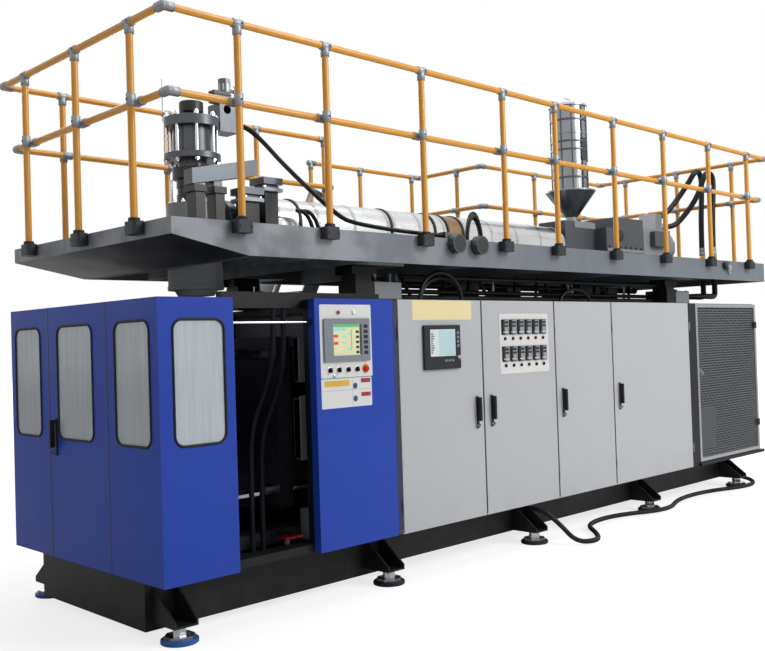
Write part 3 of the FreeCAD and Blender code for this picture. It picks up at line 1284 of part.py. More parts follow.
def make_clamp_hoses():
    """Hoses of the clamp, hanging from the cabin's front tube to the base in the moulding bay."""
    top = CABIN_TOP - 4 - FRAME_TUBE
    y = HMI_SHELL_DEPTH + SEAL_GAP + 60 + FRAME_TUBE / 2
    hoses = []
    for x, drop in ((880.0, 0.0), (960.0, 50.0)):
        route = ((x, y, top), (x, y, 1640 - drop), (x + 70, 300, 1380 - drop), (x, 400, 1100 - drop),
                 (x - 50, 345, 760), (x - 50, 345, CABIN_BOTTOM))
        hoses.append(cord("clamp hose", route, HOSE_D))
    return group(hoses)


def all_nodes():
    """Every node's name and solid, in machine coordinates."""
    nodes = {}
    nodes["base_frame"] = make_base_frame()
    nodes["foot_pads"], nodes["foot_studs"] = make_feet()
    nodes["guard_panels"], nodes["guard_windows"], frame = make_guard()
    bar, blocks = make_door_rod()
    nodes["guard_frame"] = group([fused([frame] + blocks), bar])
    nodes["front_door"], nodes["front_door_window"] = make_front_door()
    door, nodes["end_door_window"] = make_end_door()
    latch_y = END_PANEL_NEAR + END_DOOR_WIDTH - HANDLE_INSET
    nodes["end_door"] = fused((door, escutcheon("x", latch_y, 0)))
    nodes["end_door_handle"] = make_handle("x", latch_y, 0)
    nodes["hmi_door"] = make_hmi_door()
    nodes["operator_panel"] = make_operator_panel()
    for index, station in enumerate(SWITCH_STATIONS):
        nodes[f"selector_switch_{index + 1}"] = make_selector(station)
    nodes["estop_button"] = make_estop()
    nodes["cabinet_shell"] = make_cabinet_shell()
    for index in range(len(CABINET_DOOR_WIDTHS)):
        nodes[f"cabinet_door_{index + 1}"] = make_cabinet_door(index)
        nodes[f"cabinet_handle_{index + 1}"] = make_handle("y", handle_station(index), 0)
    nodes["parison_controller"] = make_controller()
    nodes["controller_knob"] = make_controller_knob()
    nodes["temperature_panel"] = make_temperature_panel()
    nodes["hydraulic_cabinet"] = make_hydraulic_cabinet()
    nodes["mesh_door"] = make_mesh_door()
    nodes["pump_unit"] = make_pump_unit()
    nodes["clamp_frame"] = make_clamp_frame()
    nodes["tie_bars"] = make_tie_bars()
    nodes["platen_left"], nodes["platen_right"] = make_platens()
    nodes["clamp_cylinder"] = make_clamp_cylinder()
    nodes["deck"] = make_deck()
    nodes["lift_jacks"], nodes["jack_screws"] = make_lift()
    nodes["guard_rails"], nodes["rail_clamps"], nodes["rail_sockets"] = make_guard_rail()
    nodes["access_stair"] = make_stair()
    nodes["barrel"] = make_barrel()
    nodes["extruder_screw"] = make_screw()
    nodes["barrel_covers"] = make_barrel_covers()
    nodes["gearbox"] = make_gearbox()
    nodes["extruder_motor"] = make_motor()
    nodes["hopper"] = make_hopper()
    nodes["loader_lid"] = make_loader_lid()
    nodes["die_head"] = make_die_head()
    nodes["head_cylinder"] = make_head_cylinder()
    nodes["head_rod"] = make_head_rod()
    nodes["head_support"] = make_head_support()
    nodes["servo_valve"] = make_servo_valve()
    nodes["floor_conduit"] = make_floor_conduit()
    nodes["deck_hoses"] = group(make_rail_hoses() + make_head_cables())
    nodes["clamp_hoses"] = make_clamp_hoses()
    return nodes


os.makedirs("parts", exist_ok=True)
for node_name, node_shape in all_nodes().items():
    placed = node_shape.copy()
    placed.translate(-ORIGIN)
    placed.exportStep(f"parts/{node_name}.step")
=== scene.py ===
"""Blow moulding machine: the dressed model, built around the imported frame.

Lengths are metres. Each class gives its sizes in the machine's own frame, whose origin is the front left
corner of the enclosure on the floor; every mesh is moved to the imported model's frame as it is made.
"""
import logging
import math
from collections.abc import Sequence
from dataclasses import dataclass
from enum import Enum
from typing import Union

import bmesh
import bpy
import numpy as np
from mathutils import Matrix, Vector


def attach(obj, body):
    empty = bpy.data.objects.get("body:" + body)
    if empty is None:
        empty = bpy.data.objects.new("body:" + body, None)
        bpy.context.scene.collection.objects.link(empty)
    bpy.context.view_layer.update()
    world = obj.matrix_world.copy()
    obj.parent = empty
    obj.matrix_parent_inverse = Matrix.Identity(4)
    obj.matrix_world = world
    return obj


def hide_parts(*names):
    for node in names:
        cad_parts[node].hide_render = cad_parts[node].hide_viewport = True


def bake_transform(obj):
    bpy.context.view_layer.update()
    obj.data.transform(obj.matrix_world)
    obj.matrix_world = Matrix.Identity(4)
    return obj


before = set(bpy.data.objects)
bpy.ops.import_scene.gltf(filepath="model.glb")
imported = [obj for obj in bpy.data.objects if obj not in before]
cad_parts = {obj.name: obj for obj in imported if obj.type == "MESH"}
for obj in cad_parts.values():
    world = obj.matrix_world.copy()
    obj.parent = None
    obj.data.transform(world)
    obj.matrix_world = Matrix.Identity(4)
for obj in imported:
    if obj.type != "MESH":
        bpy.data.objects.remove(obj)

LOG = logging.getLogger("machine")
ORIGIN = np.array([3.636, 1.36, 0.0])
Array = np.ndarray
Point = Sequence[float]
Value = Union["Wire", float]


class Axis(Enum):
    """Direction of a turned piece, a brushed finish or a plate's face."""

    X = 0
    Y = 1
    Z = 2


# ---- shader maths ----
class Wire:
    """A number that changes over a surface: a node's output, with arithmetic."""

    def __init__(self, tree: "Tree", socket: bpy.types.NodeSocket) -> None:
        """Keep the output and the tree that it belongs to."""
        self.tree = tree
        self.socket = socket

    def __add__(self, other: Value) -> "Wire":
        """Sum."""
        return self.tree.maths("ADD", self, other)

    __radd__ = __add__

    def __sub__(self, other: Value) -> "Wire":
        """Difference."""
        return self.tree.maths("SUBTRACT", self, other)

    def __rsub__(self, other: Value) -> "Wire":
        """Difference from a plain number."""
        return self.tree.maths("SUBTRACT", other, self)

    def __mul__(self, other: Value) -> "Wire":
        """Product."""
        return self.tree.maths("MULTIPLY", self, other)

    __rmul__ = __mul__

    def __truediv__(self, other: Value) -> "Wire":
        """Quotient."""
        return self.tree.maths("DIVIDE", self, other)

    def __mod__(self, other: Value) -> "Wire":
        """Remainder that is never negative."""
        return self.tree.maths("FLOORED_MODULO", self, other)

    def floor(self) -> "Wire":
        """Whole part."""
        return self.tree.maths("FLOOR", self, 0.0)

    def sine(self) -> "Wire":
        """Sine of the number in radians."""
        return self.tree.maths("SINE", self, 0.0)

    def root(self) -> "Wire":
        """Square root."""
        return self.tree.maths("SQRT", self, 0.0)


class Tree:
    """Node tree of one material, or of the world."""

    def __init__(self, name: str, world: bool = False) -> None:
        """Start an empty tree.

        Args:
            name: name of the material or the world.
            world: whether it is a world's.
        """
        self.owner = (bpy.data.worlds if world else bpy.data.materials).new(name)
        self.owner.use_nodes = True
        self.nodes = self.owner.node_tree.nodes
        self.nodes.clear()
        self.place = self.wire("ShaderNodeTexCoord", output="Object")
        parts = self.node("ShaderNodeSeparateXYZ", inputs={"Vector": self.place})
        self.x, self.y, self.z = (Wire(self, parts.outputs[i]) for i in range(3))

    def node(self, kind: str, settings: dict | None = None, inputs: dict | None = None) -> bpy.types.Node:
        """Make a node.

        Args:
            kind: the node's type.
            settings: properties that are set first.
            inputs: values or wires by socket name or number.

        Returns:
            The new node.
        """
        made = self.nodes.new(kind)
        for key, value in (settings or {}).items():
            setattr(made, key, value)
        for key, value in (inputs or {}).items():
            if isinstance(value, Wire):
                self.owner.node_tree.links.new(value.socket, made.inputs[key])
            else:
                made.inputs[key].default_value = value
        return made

    def wire(self, kind: str, settings: dict | None = None, inputs: dict | None = None,
             output: int | str = 0) -> Wire:
        """Make a node; returns the output that is asked for."""
        return Wire(self, self.node(kind, settings, inputs).outputs[output])

    def maths(self, operation: str, left: Value, right: Value) -> Wire:
        """One Math node; returns its result."""
        return self.wire("ShaderNodeMath", {"operation": operation}, {0: left, 1: right})

    def stretched(self, scale: Point) -> Wire:
        """Object position multiplied by a factor for each axis."""
        return self.wire("ShaderNodeVectorMath", {"operation": "MULTIPLY"}, {0: self.place, 1: tuple(scale)})

    def noise(self, scale: float, detail: float = 3.0, place: Wire | None = None) -> Wire:
        """Cloudy noise from 0 to 1, about 0.5 on average.

        Args:
            scale: features per metre.
            detail: octaves.
            place: position to read, if not the object's.

        Returns:
            The noise.
        """
        return self.wire(
            "ShaderNodeTexNoise", None, {"Vector": place or self.place, "Scale": scale, "Detail": detail})

    def cells(self, scale: float) -> Wire:
        """Cell pattern: distance to the nearest cell point."""
        return self.wire("ShaderNodeTexVoronoi", None, {"Vector": self.place, "Scale": scale})

    def fade(self, value: Value, start: float, end: float) -> Wire:
        """Smooth step: 0 at start and 1 at end."""
        return self.wire("ShaderNodeMapRange", {"interpolation_type": "SMOOTHSTEP"},
                         {0: value, 1: start, 2: end, 3: 0.0, 4: 1.0})

    def blend(self, share: Value, first: Union[Wire, Point], second: Union[Wire, Point]) -> Wire:
        """Mix two colours; share 0 gives the first and 1 the second."""
        return self.wire("ShaderNodeMix", {"data_type": "RGBA"}, {0: share, 6: first, 7: second}, 2)

    def shaded(self, colour: Point, shade: Value) -> Wire:
        """A colour made lighter or darker by a number near 1."""
        return self.wire("ShaderNodeVectorMath", {"operation": "SCALE"}, {0: colour[:3], "Scale": shade})

    def bump(self, height: Wire, depth: float) -> Wire:
        """Bumped normal; depth is the relief in metres."""
        return self.wire("ShaderNodeBump", None, {"Height": height, "Distance": depth, "Strength": 1.0})

    def surface(self, **inputs: Union[Wire, float, Point]) -> bpy.types.Material:
        """Close the tree with a Principled shader.

        Args:
            inputs: its sockets, with underscores for spaces.

        Returns:
            The material.
        """
        named = {key.replace("_", " "): value for key, value in inputs.items()}
        self.node("ShaderNodeOutputMaterial", None, {0: self.wire("ShaderNodeBsdfPrincipled", None, named)})
        return self.owner


def linear(code: str) -> tuple[float, float, float, float]:
    """Linear colour of a six-digit colour code.

    Args:
        code: two hexadecimal digits each for red, green and blue.

    Returns:
        Red, green, blue and an opaque alpha.
    """
    parts = np.array([int(code[i:i + 2], 16) for i in (0, 2, 4)]) / 255.0
    value = np.where(parts <= 0.04045, parts / 12.92, ((parts + 0.055) / 1.055) ** 2.4)
    return (float(value[0]), float(value[1]), float(value[2]), 1.0)


# ---- finishes ----
@dataclass(frozen=True)
class Paint:
    """Sprayed paint: cloudy shade, orange peel, faint runs, and dust that settles towards the floor."""

    name: str
    colour: str
    rough: float = 0.38
    cloud: float = 0.05
    grain: float = 90.0
    peel: float = 0.0002
    coat: float = 0.0
    dust: float = 0.0
    dust_colour: str = "6E6A63"
    mirror: float = 0.5

    def make(self) -> bpy.types.Material:
        """Build the material.

        Returns:
            The material.
        """
        tree = Tree(self.name)
        broad = tree.noise(0.8, 4.0)
        runs = tree.noise(1.0, 3.0, tree.stretched((9.0, 9.0, 0.7)))
        shade = (broad - 0.5) * (2 * self.cloud) + (runs - 0.5) * self.cloud + 1.0
        colour = tree.shaded(linear(self.colour), shade)
        speck = tree.noise(self.grain, 2.0)
        rough = (tree.noise(3.5) - 0.5) * 0.16 + (speck - 0.5) * 0.06 + self.rough
        if self.dust:
            low = tree.fade(tree.z, 0.75, 0.05) * tree.fade(tree.noise(7.0, 5.0), 0.35, 0.75)
            colour = tree.blend(low * self.dust, colour, linear(self.dust_colour))
            rough = rough + low * (0.3 * self.dust)
        return tree.surface(Base_Color=colour, Roughness=rough, Coat_Weight=self.coat,
                            Specular_IOR_Level=self.mirror, Normal=tree.bump(speck, self.peel))


@dataclass(frozen=True)
class Plate:
    """Deck paint: grey rolled over steel, scuffed on top where people walk, with painted shade that turns faces
    pointing down near black.
    """

    name: str
    colour: str
    # colour of the painted shade on faces that point down
    under: str

    def make(self) -> bpy.types.Material:
        """Build the material.

        Returns:
            The material.
        """
        tree = Tree(self.name)
        normal = tree.wire("ShaderNodeNewGeometry", output="Normal")
        up = tree.wire("ShaderNodeSeparateXYZ", None, {0: normal}, 2)
        broad = tree.noise(1.1, 5.0)
        streak = tree.noise(1.0, 4.0, tree.stretched((7.0, 7.0, 0.8)))
        shade = (broad - 0.5) * 0.46 + (streak - 0.5) * 0.3 + 1.0
        colour = tree.shaded(linear(self.colour), shade)
        scuff = tree.fade(up, 0.5, 0.9) * tree.fade(tree.noise(5.0, 6.0), 0.55, 0.8)
        colour = tree.blend(scuff * 0.35, colour, linear("8F9193"))
        worn = tree.fade(tree.x, 0.2, -2.8) * tree.fade(tree.noise(3.2, 7.0), 0.42, 0.62)
        colour = tree.blend(worn * 0.55, colour, linear("A4A8AC"))
        # painted shade: faces that point down take the under colour, near black, as the shade beneath the deck
        colour = tree.blend(tree.fade(up, -0.4, -0.8), colour, linear(self.under))
        grain = tree.noise(55.0, 3.0)
        rough = (tree.noise(4.0) - 0.5) * 0.2 + 0.46 + scuff * 0.15
        return tree.surface(Base_Color=colour, Roughness=rough, Normal=tree.bump(grain + broad * 2.0, 0.0007))


@dataclass(frozen=True)
class Steel:
    """Bare metal with fine brushing along one axis and faint smears."""

    name: str
    colour: str
    rough: float
    along: Axis = Axis.X
    depth: float = 0.00015
    cloud: float = 0.1
    heat: float = 0.0

    def make(self) -> bpy.types.Material:
        """Build the material.

        Returns:
            The material.
        """
        tree = Tree(self.name)
        scale = [220.0, 220.0, 220.0]
        scale[self.along.value] = 5.0
        lines = tree.noise(1.0, 3.0, tree.stretched(scale))
        smear = tree.noise(4.0, 4.0)
        colour = tree.shaded(linear(self.colour), (smear - 0.5) * (2 * self.cloud) + (lines - 0.5) * 0.12 + 1.0)
        if self.heat:
            warm = tree.fade(tree.noise(2.5, 3.0), 0.42, 0.7)
            colour = tree.blend(warm * self.heat, colour, linear("A9885A"))
        rough = (smear - 0.5) * 0.2 + (lines - 0.5) * 0.16 + self.rough
        return tree.surface(
            Base_Color=colour, Metallic=1.0, Roughness=rough, Normal=tree.bump(lines, self.depth))


@dataclass(frozen=True)
class Zinc:
    """Galvanised or cast metal: spangle cells, or a sand-cast grain, under a dull sheen."""

    name: str
    colour: str
    rough: float = 0.5
    metallic: float = 0.85
    cell: float = 90.0
    contrast: float = 0.25

    def make(self) -> bpy.types.Material:
        """Build the material.

        Returns:
            The material.
        """
        tree = Tree(self.name)
        flake = tree.noise(self.cell, 1.0, tree.stretched((1.0, 1.3, 0.9)))
        spangle = tree.cells(self.cell)
        shade = (spangle - 0.3) * self.contrast + (flake - 0.5) * self.contrast + 1.0
        rough = (flake - 0.5) * 0.25 + self.rough
        return tree.surface(Base_Color=tree.shaded(linear(self.colour), shade), Metallic=self.metallic,
                            Roughness=rough, Normal=tree.bump(tree.noise(260.0, 2.0), 0.0002))


@dataclass(frozen=True)
class Rubber:
    """Rubber or moulded plastic: even colour, fine pebble grain, greyer where it is rubbed."""

    name: str
    colour: str
    rough: float = 0.55
    grain: float = 400.0
    depth: float = 0.0001
    bloom: float = 0.12

    def make(self) -> bpy.types.Material:
        """Build the material.

        Returns:
            The material.
        """
        tree = Tree(self.name)
        fine = tree.noise(self.grain, 2.0)
        rub = tree.fade(tree.noise(11.0, 4.0), 0.5, 0.85)
        colour = tree.blend(
            rub * self.bloom, tree.shaded(linear(self.colour), (fine - 0.5) * 0.14 + 1.0), linear("8A8A88"))
        return tree.surface(Base_Color=colour, Roughness=(fine - 0.5) * 0.2 + rub * 0.1 + self.rough,
                            Specular_IOR_Level=0.28, Normal=tree.bump(fine, self.depth))


@dataclass(frozen=True)
class Pane:
    """Guard window of thick clear sheet that has clouded, with faint vertical wipe marks."""

    name: str
    colour: str
    cover: float

    def make(self) -> bpy.types.Material:
        """Build the material.

        Returns:
            The material.
        """
        tree = Tree(self.name)
        wipe = tree.noise(1.0, 4.0, tree.stretched((38.0, 38.0, 1.6)))
        patch = tree.noise(3.0, 3.0)
        alpha = (wipe - 0.5) * 0.3 + (patch - 0.5) * 0.16 + self.cover
        colour = tree.shaded(linear(self.colour), (wipe - 0.5) * 0.16 + 1.0)
        return tree.surface(Base_Color=colour, Roughness=(wipe - 0.5) * 0.15 + 0.16, Alpha=alpha,
                            Specular_IOR_Level=0.6, Normal=tree.bump(patch, 0.0004))


@dataclass(frozen=True)
class Perforated:
    """Sheet with round holes in staggered rows.

    A point's cell is its position over the pitch, with every second row moved by half a cell, and the
    hole is where the distance to the cell's centre is under the hole's radius.
    """

    name: str
    colour: str
    pitch: float
    hole: float

    def make(self) -> bpy.types.Material:
        """Build the material.

        Returns:
            The material.
        """
        tree = Tree(self.name)
        row_height = 0.866
        across = tree.x / self.pitch
        up = tree.z / (self.pitch * row_height)
        row = up.floor()
        u = (across + (row % 2.0) * 0.5) % 1.0 - 0.5
        v = (up % 1.0 - 0.5) * row_height
        distance = (u * u + v * v).root()
        radius = self.hole / self.pitch / 2
        alpha = tree.fade(distance, radius - 0.03, radius + 0.03)
        cloud = tree.noise(2.0, 4.0)
        return tree.surface(Base_Color=tree.shaded(linear(self.colour), (cloud - 0.5) * 0.3 + 1.0),
                            Metallic=0.35, Roughness=(cloud - 0.5) * 0.2 + 0.5, Alpha=alpha)


@dataclass(frozen=True)
class Glow:
    """Lit field of a screen, a lamp or a display: a colour with faint scan lines behind glass."""

    name: str
    colour: str
    light: float = 0.5
    pitch: float = 0.004

    def make(self) -> bpy.types.Material:
        """Build the material.

        Returns:
            The material.
        """
        tree = Tree(self.name)
        scan = (tree.z * (2 * math.pi / self.pitch)).sine() * 0.04 + 1.0
        cloud = (tree.noise(9.0) - 0.5) * 0.12 + scan
        colour = tree.shaded(linear(self.colour), cloud)
        return tree.surface(
            Base_Color=colour, Emission_Color=colour, Emission_Strength=self.light, Roughness=0.18)


class Finish(Enum):
    """Every finish on the machine."""

    BLUE = Paint("enclosure blue", "2243A8", 0.42, 0.06, coat=0.05, dust=0.02, mirror=0.22)
    DOOR_GREY = Paint("door grey", "B4B6B9", 0.42, 0.03, dust=0.12)
    # painted shade: dark navy for the shade in the door gaps and in the platens' slots
    SHADE_NAVY = Paint("seam navy", "20264A", 0.4)
    BASE_BLACK = Paint("base black", "111214", 0.48, 0.12, 60.0, 0.0004, dust=0.1, mirror=0.3)
    FRAME_BLACK = Paint("frame black", "0F1012", 0.48, 0.1, 60.0, 0.0003, mirror=0.3)
    PLATEN_BLACK = Paint("platen black", "222428", 0.4, 0.12)
    RIB_GREY = Paint("rib grey", "5C6064", 0.45, 0.1)
    # 141517 is the painted shade of the deck's underside
    DECK = Plate("deck grey", "6B7178", "141517")
    RAIL = Paint("rail yellow", "DE992A", 0.34, 0.06, coat=0.2)
    MOTOR_GREY = Paint("motor grey", "8F9497", 0.45, 0.06)
    GEAR_GREY = Paint("gearbox grey", "4A4F55", 0.42, 0.08)
    PALE = Paint("pale plate", "DADBD8", 0.4, 0.02)
    LABEL = Paint("bare label", "EAD9A6", 0.45, 0.03)
    FIELD_BLUE = Paint("bare field blue", "2A3F6E", 0.45, 0.03)
    FIELD_YELLOW = Paint("bare field yellow", "D6AE34", 0.45, 0.03)
    FIELD_RED = Paint("bare field red", "9C262A", 0.45, 0.03)
    BEZEL_GREY = Paint("bezel grey", "7C828A", 0.35, 0.03)
    BEZEL_DARK = Rubber("bezel dark", "24262A", 0.35, bloom=0.04)
    HANDLE = Rubber("handle black", "101113", 0.4, bloom=0.06)
    RUBBER = Rubber("seal rubber", "121214", 0.6)
    PAD_BLACK = Rubber("foot rubber", "1B1C1E", 0.6, bloom=0.25)
    PAD_BLUE = Rubber("foot rubber blue", "2C5FA8", 0.5, bloom=0.15)
    HOSE = Rubber("hose rubber", "0D0E10", 0.42, bloom=0.03)
    HOSE_NAVY = Rubber("bay hose", "060A18", 0.75, bloom=0.0)
    CONDUIT = Rubber("conduit plastic", "1E1F21", 0.5, bloom=0.15)
    SCREW_STEEL = Steel("screw steel", "8D9094", 0.3, Axis.Z)
    CHROME = Steel("chrome rod", "C9CCD0", 0.16, Axis.X, 0.00002, 0.04)
    CHROME_UP = Steel("chrome upright", "D2D5D8", 0.16, Axis.Z, 0.00002, 0.05)
    STAINLESS = Steel("stainless cover", "D8DADC", 0.26, Axis.X, 0.0001, 0.08)
    STAINLESS_UP = Steel("stainless hopper", "94979A", 0.27, Axis.Z, 0.0001, 0.22)
    # painted shade: a darker copy of the stainless hopper finish, for the cone that faces down
    SHADED_CONE = Steel("hopper cone", "6E7073", 0.25, Axis.Z, 0.0001, 0.2)
    BRONZE = Steel("heated band", "8A6F55", 0.4, Axis.X, 0.0002, 0.15, 0.5)
    HEAD_GREY = Steel("head steel", "5D6166", 0.36, Axis.Z, 0.0002, 0.2)
    HEAD_DARK = Paint("head black", "1A1B1D", 0.36, 0.15)
    ZINC = Zinc("galvanised fitting", "8E9296")
    CAST_BLACK = Zinc("cast black", "1E2023", 0.5, 0.2, 140.0, 0.2)
    BRASS = Steel("hose brass", "B99A5A", 0.3, Axis.Z, 0.0001, 0.12)
    EDGE_SILVER = Steel("door edge", "B5B8BB", 0.34, Axis.Z, 0.0001, 0.06)
    PANE = Pane("guard pane", "C9D0D6", 0.8)
    SHEET = Perforated("perforated sheet", "74787C", 0.028, 0.0215)
    SCREEN_DARK = Glow("screen dark", "20262C", 0.15)
    SCREEN_CYAN = Glow("screen cyan", "8FC4C6", 0.35)
    SCREEN_CREAM = Glow("screen cream", "CDD0A4", 0.22)
    SCREEN_SKY = Glow("screen sky", "A6C2C8", 0.22)
    SCREEN_WHITE = Glow("screen white", "C4CCCA", 0.25)
    SCREEN_GREEN = Glow("screen green", "4FA86A", 0.45)
    SCREEN_RED = Glow("screen red", "B5432F", 0.5)
    LAMP_RED = Glow("lamp red", "96161E", 0.12)
    LAMP_GREEN = Glow("lamp green", "BFE4CC", 0.4)
    BUTTON_RED = Rubber("button red", "C4161C", 0.35, bloom=0.03)
    BUTTON_YELLOW = Rubber("button yellow", "D9B422", 0.4, bloom=0.03)


MADE: dict[Finish, bpy.types.Material] = {}


def shown(name: str, data: bpy.types.ID) -> bpy.types.Object:
    """Put a new object in the scene.

    Args:
        name: its name.
        data: its mesh, curve, light or camera.

    Returns:
        The object.
    """
    made = bpy.data.objects.new(name, data)
    bpy.context.scene.collection.objects.link(made)
    return made


def material(finish: Finish) -> bpy.types.Material:
    """The material of a finish, made at its first use.

    Args:
        finish: the finish.

    Returns:
        The material.
    """
    if finish not in MADE:
        MADE[finish] = finish.value.make()
    return MADE[finish]


def dress(finish: Finish, *nodes: str) -> None:
    """Put a finish on CAD nodes that keep their own shape.

    Args:
        finish: the finish.
        nodes: names of the nodes.
    """
    for name in nodes:
        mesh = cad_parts[name].data
        mesh.materials.clear()
        mesh.materials.append(material(finish))


# ---- shapes ----
class Shape:
    """A mesh that is gathered from grids of points, in the machine's frame."""

    def __init__(self) -> None:
        """Start with no points."""
        self.points: list[Array] = []
        self.faces: list[list[int]] = []
        self.total = 0

    def net(self, grid: Array, wrap_u: bool = False, wrap_v: bool = False, cap: bool = False,
            keep: Array | None = None) -> "Shape":
        """Add a surface on a grid: each face joins points (i, j), (i, j+1), (i+1, j+1) and (i+1, j).

        Args:
            grid: points as an array of rows, columns and three coordinates.
            wrap_u: the last row joins the first.
            wrap_v: the last column joins the first.
            cap: close the first and last row with one face each.
            keep: for each face, whether it is there.

        Returns:
            The shape, so that calls can follow each other.
        """
        rows, columns = grid.shape[:2]
        index = np.arange(rows * columns).reshape(rows, columns) + self.total
        near = index if wrap_u else index[:-1]
        far = np.roll(index, -1, 0) if wrap_u else index[1:]
        if wrap_v:
            corners = (near, np.roll(near, -1, 1), np.roll(far, -1, 1), far)
        else:
            corners = (near[:, :-1], near[:, 1:], far[:, 1:], far[:, :-1])
        quads = np.stack(corners, -1)
        quads = quads.reshape(-1, 4) if keep is None else quads[keep]
        self.faces += quads.tolist()
        if cap:
            self.faces += [index[0, ::-1].tolist(), index[-1].tolist()]
        self.points.append(grid.reshape(-1, 3))
        self.total += rows * columns
        return self

    def lathe(self, profile: Sequence[tuple[float, float]], centre: Point, axis: Axis = Axis.Z,
              sides: int = 40, ring: bool = False, twist: float = 0.0) -> "Shape":
        """Turn a profile: point (i, j) is at radius r_i and height h_i, at angle 2 pi j / sides.

        Args:
            profile: radius and height of each point along the outline.
            centre: where height 0 lies on the axis.
            axis: direction of the turning axis.
            sides: points round.
            ring: the outline closes on itself and leaves a hole.
            twist: angle of the first point in radians.

        Returns:
            The shape.
        """
        outline = np.array(profile, float)
        angle = np.arange(sides) * (2 * math.pi / sides) + twist
        a, b = (axis.value + 1) % 3, (axis.value + 2) % 3
        grid = np.zeros((len(outline), sides, 3)) + np.array(centre, float)
        grid[..., a] += outline[:, :1] * np.cos(angle)
        grid[..., b] += outline[:, :1] * np.sin(angle)
        grid[..., axis.value] += outline[:, 1:]
        return self.net(grid, wrap_u=ring, wrap_v=True, cap=not ring)

    def rod(self, start: Point, end: Point, radius: float, sides: int = 24, round_off: float = 0.0) -> "Shape":
        """Straight round bar; round_off chamfers its ends.

        Args:
            start: middle of the first end.
            end: middle of the other end.
            radius: radius of the bar.
            sides: points round.
            round_off: width of a chamfer at both ends, or 0.

        Returns:
            The shape.
        """
        start, end = np.array(start, float), np.array(end, float)
        along = (end - start) / np.linalg.norm(end - start)
        c = round_off
        stations = np.array([start, start + along * c, end - along * c, end]) if c else np.array([start, end])
        radii = np.array([radius - c, radius, radius, radius - c]) if c else np.array([radius, radius])
        return self.net(rings(stations, radii, sides), wrap_v=True, cap=True)

    def tube(self, path: Array, radius: Union[float, Array], sides: int = 16) -> "Shape":
        """Round section carried along a path of points."""
        radii = np.broadcast_to(np.asarray(radius, float), (len(path),))
        return self.net(rings(np.asarray(path, float), radii, sides), wrap_v=True, cap=True)

    def block(self, x0: float, x1: float, y0: float, y1: float, z0: float, z1: float) -> "Shape":
        """Rectangular block: a four-cornered ring at each end of its height.

        Args:
            x0: low edge across.
            x1: high edge across.
            y0: front.
            y1: back.
            z0: underside.
            z1: top.

        Returns:
            The shape.
        """
        ring = np.array([(x0, y0), (x1, y0), (x1, y1), (x0, y1)])
        low = np.column_stack([ring, np.full(4, z0)])
        high = np.column_stack([ring, np.full(4, z1)])
        return self.net(np.stack([low, high]), wrap_v=True, cap=True)

    def slab(self, outline: Array, axis: Axis, start: float, stop: float) -> "Shape":
        """A flat outline carried along an axis; its two columns are the axes that follow in turn.

        Args:
            outline: points of the closed outline.
            axis: direction in which it is carried.
            start: place of the first face.
            stop: place of the second face.

        Returns:
            The shape.
        """
        a, b = (axis.value + 1) % 3, (axis.value + 2) % 3
        grid = np.zeros((2, len(outline), 3))
        grid[..., a], grid[..., b] = outline[:, 0], outline[:, 1]
        grid[0, :, axis.value], grid[1, :, axis.value] = start, stop
        return self.net(grid, wrap_v=True, cap=True)

    def make(self, name: str, body: str, finish: Finish, slot: str = "", replaces: Sequence[str] = (),
             bevel: float = 0.0, wall: float = 0.0, crease: float = 35.0) -> bpy.types.Object:
        """Turn the gathered grids into a finished piece.

        Args:
            name: the piece's name.
            body: CAD body that it rides on; empty leaves it free.
            finish: its finish.
            slot: the record's material slot; not used.
            replaces: CAD nodes that it stands for.
            bevel: width of the rounded edges.
            wall: thickness that an open sheet gets.
            crease: edges sharper than this angle stay sharp, in degrees.

        Returns:
            The object.
        """
        mesh = bpy.data.meshes.new(name)
        mesh.from_pydata((np.concatenate(self.points) - ORIGIN).tolist(), [], self.faces)
        if not wall:
            gathered = bmesh.new()
            gathered.from_mesh(mesh)
            bmesh.ops.recalc_face_normals(gathered, faces=gathered.faces)
            gathered.to_mesh(mesh)
            gathered.free()
        mesh.polygons.foreach_set("use_smooth", np.ones(len(mesh.polygons), bool))
        mesh.set_sharp_from_angle(angle=math.radians(crease))
        mesh.materials.append(material(finish))
        piece = shown(name, mesh)
        if wall:
            solid = piece.modifiers.new("wall", "SOLIDIFY")
            solid.thickness, solid.offset = wall, -1.0
        if bevel:
            edge = piece.modifiers.new("edge", "BEVEL")
            edge.width, edge.segments, edge.limit_method = bevel, 2, "ANGLE"
            edge.angle_limit = math.radians(50)
            edge.harden_normals = True
        if body:
            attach(piece, body)
        if replaces:
            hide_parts(*replaces)
        LOG.info("%s: %d points, rides on %s", name, self.total, body or "two bodies")
        return piece


def rings(path: Array, radii: Array, sides: int) -> Array:
    """Rings of points round a path: centre + r (cos a n + sin a b), with n and b carried along it.

    Args:
        path: centre of each ring.
        radii: radius of each ring.
        sides: points in a ring.

    Returns:
        Points as rings, sides and three coordinates.
    """
    along = np.gradient(path, axis=0)
    along /= np.linalg.norm(along, axis=1, keepdims=True)
    first = np.eye(3)[np.argmin(np.abs(along[0]))]
    normals = np.empty_like(path)
    normal = first
    for station, way in enumerate(along):
        normal = normal - way * (normal @ way)
        normal /= np.linalg.norm(normal)
        normals[station] = normal
    sideways = np.cross(along, normals)
    angle = np.arange(sides) * (2 * math.pi / sides)
    spread = np.cos(angle)[None, :, None] * normals[:, None] + np.sin(angle)[None, :, None] * sideways[:, None]
    return path[:, None] + spread * radii[:, None, None]


